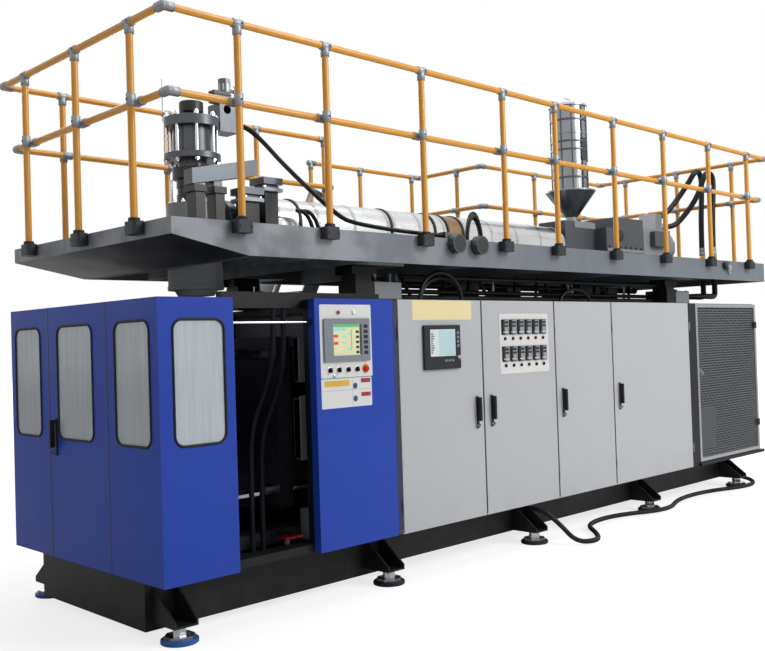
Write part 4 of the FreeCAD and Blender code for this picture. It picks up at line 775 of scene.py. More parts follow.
def rounded(a0: float, a1: float, b0: float, b1: float, radius: float, arc: int = 6) -> Array:
    """Rounded rectangle: each corner is a quarter circle about a point one radius inside it.

    Args:
        a0: low edge of the first coordinate.
        a1: its high edge.
        b0: low edge of the second coordinate.
        b1: its high edge.
        radius: corner radius.
        arc: steps in each corner.

    Returns:
        Points of the closed outline.
    """
    turn = np.linspace(0, math.pi / 2, arc + 1)
    quarter = np.column_stack([np.cos(turn), np.sin(turn)]) * radius
    corners = []
    for (a, b), (s, t), flip in (
            ((a1, b1), (1, 1), 1), ((a0, b1), (-1, 1), -1), ((a0, b0), (-1, -1), 1), ((a1, b0), (1, -1), -1)):
        corners.append((np.array([a, b]) - np.array([s, t]) * radius + quarter * np.array([s, t]))[::flip])
    return np.concatenate(corners)


def rim(outline: Array, axis: Axis, level: float, radius: float, sides: int = 8) -> Array:
    """Bead that follows a closed flat outline: offset r cos a outwards in its plane and r sin a off it.

    Args:
        outline: points of the outline, as the two coordinates that follow the axis.
        axis: direction off the plane.
        level: place of the plane.
        radius: bead radius.
        sides: points round the bead.

    Returns:
        Grid of points that closes both ways.
    """
    edge = np.roll(outline, -1, 0) - np.roll(outline, 1, 0)
    out = np.column_stack([edge[:, 1], -edge[:, 0]])
    out /= np.linalg.norm(out, axis=1, keepdims=True)
    angle = np.arange(sides) * (2 * math.pi / sides)
    a, b = (axis.value + 1) % 3, (axis.value + 2) % 3
    grid = np.zeros((len(outline), sides, 3))
    grid[..., a] = outline[:, :1] + out[:, :1] * np.cos(angle) * radius
    grid[..., b] = outline[:, 1:] + out[:, 1:] * np.cos(angle) * radius
    grid[..., axis.value] = level + np.sin(angle) * radius
    return grid


def around(x: float, y: float, radius: float, count: int, first: float = 0.0) -> list[tuple[float, float]]:
    """Places evenly round a circle: x + r cos a and y + r sin a, from a first angle in degrees.

    Args:
        x: first coordinate of the middle.
        y: its second coordinate.
        radius: radius of the circle.
        count: number of places.
        first: angle of the first place.

    Returns:
        The two coordinates of each place.
    """
    angles = np.radians(first + np.arange(count) * (360.0 / count))
    return list(zip(x + radius * np.cos(angles), y + radius * np.sin(angles)))


def arch(x: float, y: float, z: float, across: float, rise: float, turn: float = math.pi,
         steps: int = 12) -> Array:
    """Upright arc along X: x + across cos t and z + rise sin t, for t from 0 to turn.

    Args:
        x: middle of the arc.
        y: place of its plane.
        z: height of its middle.
        across: half its width.
        rise: its height.
        turn: last angle in radians.
        steps: number of steps.

    Returns:
        Points of the arc.
    """
    t = np.linspace(0, turn, steps + 1)
    return np.column_stack([x + across * np.cos(t), np.full(steps + 1, y), z + rise * np.sin(t)])


def finned(span: Sequence[float], y: float, z: float, low: float, high: float, fins: int) -> Array:
    """Finned drum along X: of four points to a fin, two are at the high radius and two at the low one.

    Args:
        span: where the drum starts and stops.
        y: place of its axis.
        z: height of its axis.
        low: radius between the fins.
        high: radius at the fins.
        fins: number of fins.

    Returns:
        Grid of its two end rings.
    """
    count = np.arange(4 * fins)
    radius = np.where(count % 4 < 2, high, low)
    angle = count * (math.pi / 2 / fins)
    ring = np.column_stack([np.zeros(4 * fins), y + radius * np.cos(angle), z + radius * np.sin(angle)])
    return np.stack([ring + (x, 0.0, 0.0) for x in span])


def flat(shape: Shape, x0: float, x1: float, z0: float, z1: float, back: float, face: float,
         corner: float = 0.003) -> Shape:
    """Add a rounded flat plate that faces the operator; returns the shape."""
    return shape.slab(rounded(z0, z1, x0, x1, corner, 3), Axis.Y, face, back)


def frame_ring(shape: Shape, outer: Array, inner: Array, axis: Axis, back: float, face: float) -> None:
    """Flat frame: the section runs outer back, outer face, inner face, inner back, and closes on itself.

    Args:
        shape: where it is added.
        outer: outline of the outer edge.
        inner: outline of the opening, with as many points.
        axis: direction of the face.
        back: place of the back.
        face: place of the face.
    """
    a, b = (axis.value + 1) % 3, (axis.value + 2) % 3
    grid = np.zeros((4, len(outer), 3))
    for row, (line, level) in enumerate(((outer, back), (outer, face), (inner, face), (inner, back))):
        grid[row, :, a], grid[row, :, b], grid[row, :, axis.value] = line[:, 0], line[:, 1], level
    shape.net(grid, wrap_u=True, wrap_v=True)


# ---- view and light ----
@dataclass
class Viewpoint:
    """The camera: where it stands, where it looks and its focal length in pixels of the picture."""

    place: Point = (-2.665, -4.42, 1.6)
    yaw: float = 44.3704
    pitch: float = 1.0306
    roll: float = -1.8123
    focal: float = 953.94
    width: float = 765.0
    sensor: float = 36.0

    def make(self) -> None:
        """Build the camera from its three axes: forward, sideways and up, turned by the roll."""
        yaw, pitch, roll = np.radians([self.yaw, self.pitch, self.roll])
        ahead = np.array([np.sin(yaw) * np.cos(pitch), np.cos(yaw) * np.cos(pitch), np.sin(pitch)])
        side = np.array([np.cos(yaw), -np.sin(yaw), 0.0])
        up = np.cross(side, ahead)
        across = np.cos(roll) * side + np.sin(roll) * up
        above = np.cos(roll) * up - np.sin(roll) * side
        lens = bpy.data.cameras.new("camera")
        lens.sensor_width = self.sensor
        lens.lens = self.focal / self.width * self.sensor
        lens.clip_end = 200.0
        camera = shown("camera", lens)
        turn = np.eye(4)
        turn[:3, :3] = np.column_stack([across, above, -ahead])
        turn[:3, 3] = np.array(self.place) - ORIGIN
        camera.matrix_world = Matrix(turn.tolist())
        bpy.context.scene.camera = camera


@dataclass
class Lamp:
    """Soft studio lamp: a square that faces the middle of the machine."""

    name: str
    place: Point
    size: float
    power: float
    aim: Point = (0.0, 0.0, 1.4)

    def make(self) -> None:
        """Build the lamp."""
        light = bpy.data.lights.new(self.name, "AREA")
        light.shape, light.size, light.energy = "SQUARE", self.size, self.power
        lamp = shown(self.name, light)
        lamp.location = self.place
        lamp.rotation_euler = (Vector(self.aim) - Vector(self.place)).to_track_quat("-Z", "Y").to_euler()


@dataclass
class Studio:
    """Pale floor, white surroundings and three soft lamps."""

    half: float = 60.0
    ambient: float = 0.3
    mirrored: float = 0.6
    shade: float = 0.86
    glow: float = 1.4
    fading: tuple[float, float] = (5.0, 14.0)
    lamps: Sequence[Lamp] = (
        Lamp("key", (3.5, -11.0, 8.0), 6.0, 950.0), Lamp("top", (1.0, -1.0, 12.0), 7.0, 520.0),
        Lamp("back", (3.0, 11.0, 7.0), 6.0, 480.0))

    def make(self) -> None:
        """Build the floor, the world and the lamps."""
        bpy.context.scene.view_settings.view_transform = "Standard"
        self.world()
        self.floor()
        for lamp in self.lamps:
            lamp.make()

    def world(self) -> None:
        """White where the camera or a reflection sees it, and a plain soft light on everything else."""
        tree = Tree("studio", world=True)
        path = tree.node("ShaderNodeLightPath")
        camera, through, shiny = (
            Wire(tree, path.outputs[f"Is {kind} Ray"]) for kind in ("Camera", "Transmission", "Glossy"))
        seen = tree.maths("MAXIMUM", camera, through)
        light = tree.maths("MAXIMUM", seen, shiny * self.mirrored + self.ambient)
        sky = tree.wire("ShaderNodeBackground", None, {0: (1, 1, 1, 1), 1: light})
        tree.node("ShaderNodeOutputWorld", None, {0: sky})
        bpy.context.scene.world = tree.owner

    def floor(self) -> None:
        """Plain pale floor that keeps the machine's shadow and runs into the white."""
        tree = Tree("floor")
        matt = tree.wire("ShaderNodeBsdfDiffuse", None, {"Color": (*[self.shade] * 3, 1)})
        glow = tree.wire("ShaderNodeEmission", None, {"Color": (1, 1, 1, 1), "Strength": self.glow})
        reach = (tree.x * tree.x + tree.y * tree.y).root()
        camera = tree.wire("ShaderNodeLightPath", output="Is Camera Ray")
        share = camera * (tree.fade(reach, *self.fading) * 0.45 + 0.55)
        mixed = tree.wire("ShaderNodeMixShader", None, {0: share, 1: matt, 2: glow})
        tree.node("ShaderNodeOutputMaterial", None, {0: mixed})
        h = self.half
        mesh = bpy.data.meshes.new("floor")
        mesh.from_pydata([(-h, -h, 0), (h, -h, 0), (h, h, 0), (-h, h, 0)], [], [(0, 1, 2, 3)])
        mesh.materials.append(tree.owner)
        shown("floor", mesh)


# ---- hoses, cables and the conduit ----
class Shell(Enum):
    """How a hose is made on the outside."""

    SMOOTH = "smooth"
    RIBBED = "ribbed"


@dataclass
class Hose:
    """A free hose or cable on one smooth NURBS line through its route."""

    name: str
    route: Sequence[Point]
    diameter: float
    length: float
    node: str
    body: str
    finish: Finish = Finish.HOSE
    shell: Shell = Shell.SMOOTH
    far_body: str = ""
    stiffness: str = "stiff"
    lay: str = "hanging"
    slot: str = "hose_black"
    rib_pitch: float = 0.011
    rib_depth: float = 0.0032

    def line(self, thick: float) -> bpy.types.Object:
        """The curve: its control points are the route's points.

        Args:
            thick: radius of the curve's own round section, or 0 for a bare line.

        Returns:
            The curve object.
        """
        curve = bpy.data.curves.new(self.name, "CURVE")
        curve.dimensions = "3D"
        spline = curve.splines.new("NURBS")
        spline.points.add(len(self.route) - 1)
        places = np.array(self.route, float) / 1000.0 - ORIGIN
        spline.points.foreach_set("co", np.column_stack([places, np.ones(len(places))]).ravel())
        spline.order_u = 3
        spline.use_endpoint_u = True
        spline.resolution_u = 16
        curve.bevel_depth = thick
        curve.bevel_resolution = 5
        curve.use_fill_caps = True
        return shown(self.name, curve)

    def followed(self) -> Array:
        """Points of the bare line, in the machine's frame.

        Returns:
            The points in order.
        """
        bare = self.line(0.0)
        bpy.context.view_layer.update()
        mesh = bpy.data.meshes.new_from_object(bare)
        points = np.zeros(len(mesh.vertices) * 3)
        mesh.vertices.foreach_get("co", points)
        bpy.data.objects.remove(bare)
        return points.reshape(-1, 3) + ORIGIN

    def make(self) -> bpy.types.Object:
        """Returns:
            The object.
        """
        start = np.array(self.route[0], float) / 1000.0 - ORIGIN
        facts = dict(exit=tuple(start), length=self.length, diameter=self.diameter, far_end="object",
                     stiffness=self.stiffness, lay=self.lay)
        if self.shell is Shell.SMOOTH and not self.far_body:
            piece = self.line(self.diameter / 2)
            piece.data.materials.append(material(self.finish))
            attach(piece, self.body)
        else:
            points = self.followed()
            run = np.concatenate([[0.0], np.cumsum(np.linalg.norm(np.diff(points, axis=0), axis=1))])
            step = self.rib_pitch / 4 if self.shell is Shell.RIBBED else self.diameter / 3
            along = np.linspace(0.0, run[-1], max(8, int(run[-1] / step)))
            path = np.column_stack([np.interp(along, run, points[:, i]) for i in range(3)])
            radii = np.full(len(along), self.diameter / 2)
            if self.shell is Shell.RIBBED:
                radii -= self.rib_depth * (0.5 - 0.5 * np.cos(2 * math.pi * along / self.rib_pitch))
            shape = Shape().tube(path, radii, 12 if self.shell is Shell.RIBBED else 20)
            piece = shape.make(self.name, "" if self.far_body else self.body, self.finish, self.slot)
            facts["path"] = (path - ORIGIN).tolist()
            if self.far_body:
                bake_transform(piece)
        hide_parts(self.node)
        LOG.info("%s: %s hose of %.2f m", self.name, self.shell.value, self.length)
        return piece


@dataclass
class Hoses:
    """All free hoses, with the fittings and elbows of the thick ones."""

    elbow_x: float = 7.12
    rows: Sequence[float] = (0.56, 0.43)
    deck: float = 2.305
    thick: float = 0.058
    bend: float = 0.05
    level: float = 1.985

    def make(self) -> None:
        """Build every hose."""
        self.on_deck()
        self.below()
        self.elsewhere()

    def on_deck(self) -> None:
        """Two thick hoses over the end rail and their brass fittings in the deck."""
        a = ((6700, 880, 2840), (6786.7, 802.9, 2888.2), (6925, 750, 3030), (7030, 650, 3225),
             (7056, 592, 3336), (7126, 585, 3372), (7190, 578, 3334), (7182, 566, 3170), (7120, 560, 2800),
             (7120, 560, 2450))
        b = ((6690, 785, 2747), (6806.4, 732.1, 2751.2), (6912.3, 678.7, 2831.5), (7008.8, 535.7, 3056.5),
             (7050.8, 462.2, 3307.5), (7122.3, 454.4, 3336.9), (7190.2, 441.9, 3299.8),
             (7184.5, 433.3, 3171.8), (7120, 430, 2799.6), (7120, 430, 2450))
        Hose("rail_hose_a", a, self.thick, 1.723, "deck_hoses", "platform").make()
        Hose("rail_hose_b", b, self.thick, 1.803, "deck_hoses", "platform").make()
        nuts, collars = Shape(), Shape()
        for y in self.rows:
            foot = (self.elbow_x, y, self.deck)
            nuts.lathe([(0.034, 0.0), (0.036, 0.004), (0.036, 0.046), (0.034, 0.05)], foot, sides=6)
            nuts.lathe([(0.028, 0.05), (0.028, 0.088), (0.034, 0.09), (0.035, 0.094), (0.035, 0.126),
                        (0.034, 0.13)], foot, sides=6)
            collars.lathe([(0.031, 0.13), (0.0325, 0.134), (0.0325, 0.168), (0.0305, 0.172)], foot, sides=32)
            collars.lathe([(0.03, 0.176), (0.0315, 0.178), (0.0315, 0.214), (0.03, 0.216)], foot, sides=32)
            collars.lathe([(0.052, 0.0), (0.052, 0.006), (0.048, 0.008)], foot, sides=32)
        nuts.make("hose_nuts", "platform", Finish.BRASS, "bright_steel", ["deck_hoses"], bevel=0.0015)
        collars.make("hose_collars", "platform", Finish.ZINC, "bright_steel", ["deck_hoses"])

    def below(self) -> None:
        """Elbows under the deck and the second length of each hose to the bulkhead on the roof."""
        elbows = Shape()
        for index, y in enumerate(self.rows):
            bend = arch(
                self.elbow_x - self.bend, y, self.level + self.bend, self.bend, -self.bend, math.pi / 2, 11)
            end = (7.0, y, self.level)
            elbows.tube(np.concatenate([[(self.elbow_x, y, 2.297)], bend, [end]]), self.thick / 2, 20)
            elbows.lathe([(0.03, 0), (0.034, 0.003), (0.034, 0.042), (0.03, 0.045)], end, Axis.X, 6)
            mm = y * 1000
            route = ((7000, mm, 1985), (6740, mm, 1985), (6400, mm + 12, 1968), (6105, mm + 12, 1968))
            Hose(f"lower_hose_{index + 1}", route, self.thick, 0.895, "deck_hoses", "platform",
                 far_body="base").make()
        elbows.make("hose_elbows", "platform", Finish.CAST_BLACK, "hose_black", ["deck_hoses"])

    def elsewhere(self) -> None:
        """Control cables on the deck, hoses in the moulding bay and the conduit on the floor."""
        for index, shift in enumerate((0.0, 30.0)):
            x, y, z, rest, aside = 1180, 885 + shift, 3125, 2327, 1180 + shift / 2
            route = (
                (x, y, z), (x + 95, y, z), (aside + 175, y - 80, z - 110),
                (aside + 205, 620 + shift, z - 300), (aside + 280, 180 + shift, z - 690),
                (aside + 350, 90 + shift, rest + 50), (x + 770, -34 + shift, rest), (2240, -34 + shift, rest))
            Hose(f"head_cable_{index + 1}", route, 0.022, 1.95, "deck_hoses", "platform",
                 stiffness="medium").make()
        for index, (x, drop) in enumerate(((880.0, 0.0), (960.0, 50.0))):
            route = ((x, 145.5, 1828), (x, 145.5, 1640 - drop), (x + 70, 300, 1380 - drop),
                     (x, 400, 1100 - drop), (x - 50, 345, 760), (x - 50, 345, 340))
            Hose(f"clamp_hose_{index + 1}", route, 0.034, 1.554, "clamp_hoses", "base", Finish.HOSE_NAVY).make()
        z = 29.28
        route = (
            (3500, 290, 240), (3500, 130, 240), (3465, -50, 150), (3475, -190, z), (3640, -280, z),
            (3850, -130, z), (4110, 150, z), (4600, 190, z), (5120, -65, z), (5640, 150, z), (6200, 160, z),
            (6780, -50, z), (7160, 90, z), (7340, 420, z + 12), (7230, 765, 120), (6990, 765, 120))
        Hose("floor_conduit_tube", route, 0.04, 5.39, "floor_conduit", "base", Finish.CONDUIT, Shell.RIBBED,
             lay="loose").make()


# ---- platform: deck, rail and lift ----
@dataclass
class GuardRail:
    """Round posts and rails with key-clamp fittings and cast sockets round the deck and the landing."""

    left: float = 0.063
    right: float = 7.25
    front: float = -0.06
    back: float = 1.89
    deck: float = 2.305
    landing: tuple[float, float, float] = (2.95, 5.016, 2.78)
    landing_gate: float = 0.53
    front_posts: Sequence[float] = (0.5, 1.15, 1.999, 2.862, 3.513, 4.345, 5.168, 6.021, 6.845)
    back_posts: Sequence[float] = (0.447, 1.285, 2.141, 2.881, 5.966, 6.82)
    landing_posts: Sequence[float] = (3.48, 4.15, 4.926)
    left_posts: Sequence[float] = (0.258, 0.903, 1.59)
    right_posts: Sequence[float] = (0.275, 0.919, 1.574)
    side_post: float = 2.2638
    tube: float = 0.0212
    sleeve: float = 0.0268
    sleeve_half: float = 0.036
    offset: float = 0.034
    top: float = 3.41
    middle: float = 2.98
    inset: float = 0.0564

    def posts(self) -> list[tuple[Array, Array]]:
        """Axis and outward direction of every post.

        Returns:
            A pair of plane vectors for each post.
        """
        o = self.offset
        found = [((x, self.front - o), (0, -1)) for x in self.front_posts]
        found += [((x, self.back + o), (0, 1)) for x in self.back_posts]
        found += [((x, self.landing[2] + o), (0, 1)) for x in self.landing_posts]
        found += [((self.landing[1] + o, self.side_post), (1, 0))]
        found += [((self.left - o, y), (-1, 0)) for y in self.left_posts]
        found += [((self.right + o, y), (1, 0)) for y in self.right_posts]
        return [(np.array(place), np.array(way, float)) for place, way in found]

    def lines(self) -> list[tuple[tuple[float, float], tuple[float, float], tuple[int, int]]]:
        """Ends of each straight rail and the direction towards the deck.

        Returns:
            Start, end and inward direction of each rail.
        """
        o = self.offset
        l, r, f, b = self.left - o, self.right + o, self.front - o, self.back + o
        gate, land_l, land_r = self.back_posts[3], self.landing[0] + self.landing_gate, self.landing[1] + o
        land_b = self.landing[2] + o
        return [((l, f), (r, f), (0, 1)), ((l, f), (l, b), (1, 0)), ((r, f), (r, b), (-1, 0)),
                ((l, b), (gate, b), (0, -1)), ((land_r, b), (r, b), (0, -1)),
                ((land_r, b), (land_r, land_b), (-1, 0)), ((land_l, land_b), (land_r, land_b), (0, -1))]

    def ball(self, shape: Shape, centre: Point, radius: float) -> None:
        """Sphere: radius r cos a at height r sin a, cut just short of its poles."""
        a = np.linspace(-1.45, 1.45, 13)
        shape.lathe(list(zip(radius * np.cos(a), radius * np.sin(a))), centre, sides=24)

    def cuff(self, shape: Shape, centre: Point, way: Array, half: float) -> None:
        """Sleeve of a fitting: a short bar along a direction with rolled ends."""
        c, w = np.array(centre), np.array(way, float)
        shape.rod(c - w * half, c + w * half, self.sleeve, 24, 0.003)

    def make(self) -> None:
        """Build tubes, fittings and sockets."""
        tubes, zinc, sockets, screws = Shape(), Shape(), Shape(), Shape()
        corners: dict[tuple[float, float], Array] = {}
        for start, stop, inward in self.lines():
            for end in (start, stop):
                corners[end] = corners.get(end, np.zeros(2)) + np.array(inward)
        up = np.array([0.0, 0.0, 1.0])
        for start, stop, inward in self.lines():
            way = np.append(np.array(stop) - np.array(start), 0.0)
            way /= np.linalg.norm(way)
            for level, aside in ((self.top, 0.0), (self.middle, self.inset)):
                ends = [np.append(np.array(end) + corners[end] * aside, level) for end in (start, stop)]
                tubes.rod(ends[0], ends[1], self.tube, 24)
                for end, sign in zip(ends, (1, -1)):
                    self.cuff(zinc, end + way * sign * 0.03, way, 0.032)
        for (x, y), inside in corners.items():
            self.ball(zinc, (x, y, self.top), self.sleeve)
            self.ball(zinc, (x + inside[0] * self.inset, y + inside[1] * self.inset, self.middle), self.sleeve)
        for place, way in self.posts():
            axis = np.append(place, 0.0)
            out = np.append(way, 0.0)
            run = np.cross(up, out)
            tubes.rod(axis + up * (self.deck + 0.01), axis + up * self.top, self.tube, 24)
            self.cuff(zinc, axis + up * self.top, run, self.sleeve_half)
            self.cuff(zinc, axis + up * (self.top - 0.036), up, 0.03)
            self.cuff(zinc, axis + up * self.middle, up, self.sleeve_half)
            self.cuff(zinc, axis - out * self.inset + up * self.middle, run, self.sleeve_half)
            web = axis - out * self.inset / 2 + up * self.middle
            zinc.rod(web - out * 0.012, web + out * 0.012, 0.02, 16)
            for level, side in ((self.top, 0.02), (self.middle, 0.0)):
                head = axis + up * level + run * side + out * (self.sleeve - 0.001)
                screws.rod(head, head + out * 0.004, 0.0065, 6)
            self.socket(sockets, axis, out, run)
        tubes.make("rail_tubes", "platform", Finish.RAIL, "rail_yellow", ["guard_rails"])
        zinc.make("rail_fittings", "platform", Finish.ZINC, "galvanised", ["rail_clamps"], crease=50)
        screws.make("rail_set_screws", "platform", Finish.CAST_BLACK, "dark_steel")
        sockets.make("rail_cups", "platform", Finish.CAST_BLACK, "base_black", ["rail_sockets"], bevel=0.003)

    def socket(self, shape: Shape, axis: Array, out: Array, run: Array) -> None:
        """Cast socket: a block on the fascia, a cup round the post and two bolt heads.

        Args:
            shape: where it is added.
            axis: the post's foot.
            out: direction away from the deck.
            run: direction along the rail.
        """
        up = np.array([0.0, 0.0, 1.0])
        wide, deep = 0.056, self.offset - 0.001
        x, y = axis[:2]
        sx, sy = (wide, deep) if abs(out[1]) > 0.5 else (deep, wide)
        shape.slab(
            rounded(x - sx, x + sx, y - sy, y + sy, 0.014, 4), Axis.Z, self.deck - 0.07, self.deck + 0.004)
        shape.lathe([(0.031, 0), (0.033, 0.004), (0.033, 0.021), (0.031, 0.0235)], (x, y, self.deck), sides=28)
        for side in (-1, 1):
            bolt = axis + run * side * 0.042 + up * (self.deck - 0.034)
            shape.rod(bolt + out * (deep - 0.001), bolt + out * deep, 0.009, 6)


@dataclass
class Lift:
    """Guide columns, screw jacks and their boxes between the cabinet roof and the deck."""

    stations: Sequence[float] = (1.68, 5.72)
    rows: Sequence[float] = (0.26, 1.57)
    roof: float = 1.882
    sleeve_top: float = 2.012
    under: float = 2.115
    screw_offset: float = 0.16
    screw_radius: float = 0.025
    pitch: float = 0.012

    def make(self) -> None:
        """Build the columns, screws and jack boxes."""
        posts, screws, boxes, collars = Shape(), Shape(), Shape(), Shape()
        for x in self.stations:
            for y in self.rows:
                posts.block(x - 0.075, x + 0.075, y - 0.075, y + 0.075, self.roof + 0.001, self.under)
                for side in (-1, 1):
                    posts.block(x - 0.115, x + 0.115, y + side * 0.078, y + side * 0.086, self.under - 0.055,
                                self.under)
                self.thread(screws, x + self.screw_offset, y)
                boxes.block(
                    x + 0.0855, x + 0.3455, y - 0.086, y + 0.086, self.roof + 0.012, self.sleeve_top + 0.001)
                collars.lathe([(0.028, 0), (0.052, 0), (0.052, 0.01), (0.046, 0.016), (0.028, 0.016)],
                             (x + self.screw_offset, y, self.sleeve_top + 0.001), sides=28, ring=True)
                for dx in (0.11, 0.32):
                    for dy in (-0.065, 0.065):
                        collars.lathe(
                            [(0.009, 0), (0.009, 0.006)], (x + dx, y + dy, self.sleeve_top + 0.001), sides=6)
        posts.make("guide_columns", "platform", Finish.FRAME_BLACK, "dark_frame", ["jack_screws"], bevel=0.004)
        screws.make("lift_screws", "platform", Finish.SCREW_STEEL, "bright_steel", ["jack_screws"])
        boxes.make("jack_boxes", "base", Finish.MOTOR_GREY, "motor_grey", bevel=0.006)
        collars.make("jack_collars", "base", Finish.CAST_BLACK, "dark_steel")
        dress(Finish.FRAME_BLACK, "lift_jacks")

    def thread(self, shape: Shape, x: float, y: float) -> None:
        """Screw: radius R - d |2 f - 1|, where f is the share of a turn of height z / pitch - a / 2 pi.

        Args:
            shape: where it is added.
            x: place of the axis.
            y: its second coordinate.
        """
        low, high = self.roof + 0.006, self.under
        z = np.linspace(low, high, int((high - low) / self.pitch * 6))
        angle = np.arange(20) * (2 * math.pi / 20)
        share = (z[:, None] / self.pitch - angle[None, :] / (2 * math.pi)) % 1.0
        radius = self.screw_radius - 0.003 * np.abs(2 * share - 1)
        grid = np.stack([x + radius * np.cos(angle), y + radius * np.sin(angle),
                         np.broadcast_to(z[:, None], radius.shape)], -1)
        shape.net(grid, wrap_v=True, cap=True)


# ---- enclosure ----
@dataclass
class Enclosure:
    """Blue guard, window seals, door rod, cabinets, handles and hinges."""

    window_z: tuple[float, float] = (1.075, 1.76)
    corner: float = 0.06
    seal: float = 0.0075

    def make(self) -> None:
        """Dress the sheet metal and build what sits on it."""
        dress(Finish.BLUE, "guard_panels", "front_door", "end_door", "hmi_door")
        dress(Finish.DOOR_GREY, "cabinet_shell", "cabinet_door_1", "cabinet_door_2", "cabinet_door_3",
              "cabinet_door_4")
        dress(Finish.FRAME_BLACK, "guard_frame", "hydraulic_cabinet")
        dress(Finish.PANE, "guard_windows", "front_door_window", "end_door_window")
        self.seals()
        self.gap_shade()
        self.hinges()
        self.handles()
        rod = Shape().rod((0.0445, 0.046, 1.74), (1.067, 0.046, 1.74), 0.0087, 24)
        rod.make("door_rod", "base", Finish.CHROME, "bright_steel")

    def seals(self) -> None:
        """Black beads round the guard windows."""
        z0, z1 = self.window_z
        front = rounded(z0, z1, 0.0898, 0.4198, self.corner, 8)
        Shape().net(rim(front, Axis.Y, 0.0, self.seal), True, True).make(
            "front_window_seal", "operator_door", Finish.RUBBER, "handle_black")
        fixed = Shape()
        for centre, half in ((0.274, 0.1848), (1.5802, 0.1804)):
            fixed.net(rim(rounded(centre - half, centre + half, z0, z1, self.corner, 8), Axis.X, 0.0,
                          self.seal), True, True)
        fixed.make("end_window_seals", "base", Finish.RUBBER, "handle_black")
        swing = rounded(0.7234, 1.1634, z0, z1, self.corner, 8)
        Shape().net(rim(swing, Axis.X, 0.0, self.seal), True, True).make(
            "end_door_seal", "end_door", Finish.RUBBER, "handle_black")

    def gap_shade(self) -> None:
        """Painted shade: dark sheets in the gaps between the doors, and dark strips on the door fronts that
        widen the shaded seams.
        """
        strips = Shape()
        # painted shade: dark sheets set into the door gaps
        for x, half in ((1.775, 0.018), (2.657, 0.0026), (3.548, 0.0026), (4.372, 0.0026)):
            strips.block(x - half, x + half, 0.004, 0.014, 0.372, 1.874)
        # painted shade: dark strips along each door's edges for the shaded seam
        for index, (x0, x1) in enumerate(((1.798, 2.654), (2.66, 3.545), (3.551, 4.369), (4.375, 5.699)), 1):
            seam_shade = Shape()
            seam_shade.block(x0, x0 + 0.0045, -0.0006, 0.0004, 0.35, 1.88)
            seam_shade.block(x1 - 0.0045, x1, -0.0006, 0.0004, 0.35, 1.88)
            seam_shade.make(f"door_seam_shade_{index}", f"cabinet_door_{index}", Finish.RUBBER, "handle_black")
        # painted shade: dark strips in the seams of the end face
        for y0, y1 in ((0.553, 0.5672), (1.2848, 1.299)):
            strips.block(-0.0012, 0.0, y0, y1, 0.345, 1.878)
        strips.make("door_gap_shade", "base", Finish.SHADE_NAVY, "handle_black")

    def hinges(self) -> None:
        """Thin hinge pins in the gaps between the doors, each on a web from the frame."""
        pins = Shape()
        for x in (1.795, 3.548, 4.372, 5.702):
            for z in (0.52, 1.66):
                pins.lathe([(0.002, -0.04), (0.0026, -0.039), (0.0026, -0.001), (0.0022, 0.0),
                            (0.0026, 0.001), (0.0026, 0.039), (0.002, 0.04)], (x, -0.008, z), sides=16)
                pins.block(x - 0.0013, x + 0.0013, -0.008, 0.014, z - 0.036, z + 0.036)
        pins.make("hinge_pins", "base", Finish.EDGE_SILVER, "bright_steel")

    def handles(self) -> None:
        """Swing handles: a black back plate and lock on the door, and the lever on its own pivot."""
        for index, x in enumerate((2.575, 2.739, 3.63, 4.454), 1):
            backs, lever = Shape(), Shape()
            backs.slab(rounded(0.968, 1.198, x - 0.0165, x + 0.0165, 0.01, 4), Axis.Y, -0.009, -0.0005)
            lever.slab(rounded(1.02, 1.19, x - 0.0105, x + 0.0105, 0.01, 5), Axis.Y, -0.0455, -0.015)
            lever.slab(rounded(1.024, 1.072, x - 0.01, x + 0.01, 0.009, 5), Axis.Y, -0.034, -0.018)
            lever.rod((x, -0.0092, 1.177), (x, -0.035, 1.177), 0.0104, 20)
            lock = Shape().rod((x, -0.0085, 0.99), (x, -0.024, 0.99), 0.0118, 24, 0.001)
            lock.block(x - 0.001, x + 0.001, -0.0244, -0.0238, 0.984, 0.996)
            body = f"cabinet_door_{index}"
            backs.make(f"handle_plate_{index}", body, Finish.HANDLE, "handle_black", bevel=0.002)
            lock.make(f"handle_lock_{index}", body, Finish.CHROME_UP, "bright_steel")
            lever.make(f"handle_lever_{index}", f"handle_{index}", Finish.HANDLE, "handle_black",
                       [f"cabinet_handle_{index}"], bevel=0.003)
        y = 1.205
        back = Shape().slab(rounded(y - 0.018, y + 0.018, 0.968, 1.198, 0.01, 4), Axis.X, -0.009, -0.0005)
        back.make("end_handle_plate", "end_door", Finish.HANDLE, "handle_black", bevel=0.002)
        lock = Shape().rod((-0.0085, y, 0.99), (-0.024, y, 0.99), 0.0118, 24, 0.001)
        lock.make("end_handle_lock", "end_door", Finish.EDGE_SILVER, "bright_steel")
        lever = Shape().slab(rounded(y - 0.0105, y + 0.0105, 1.02, 1.19, 0.01, 5), Axis.X, -0.0455, -0.015)
        lever.slab(rounded(y - 0.01, y + 0.01, 1.024, 1.072, 0.009, 5), Axis.X, -0.034, -0.018)
        lever.rod((-0.0092, y, 1.177), (-0.035, y, 1.177), 0.0104, 20)
        lever.make(
            "end_handle_lever", "end_handle", Finish.HANDLE, "handle_black", ["end_door_handle"], bevel=0.003)


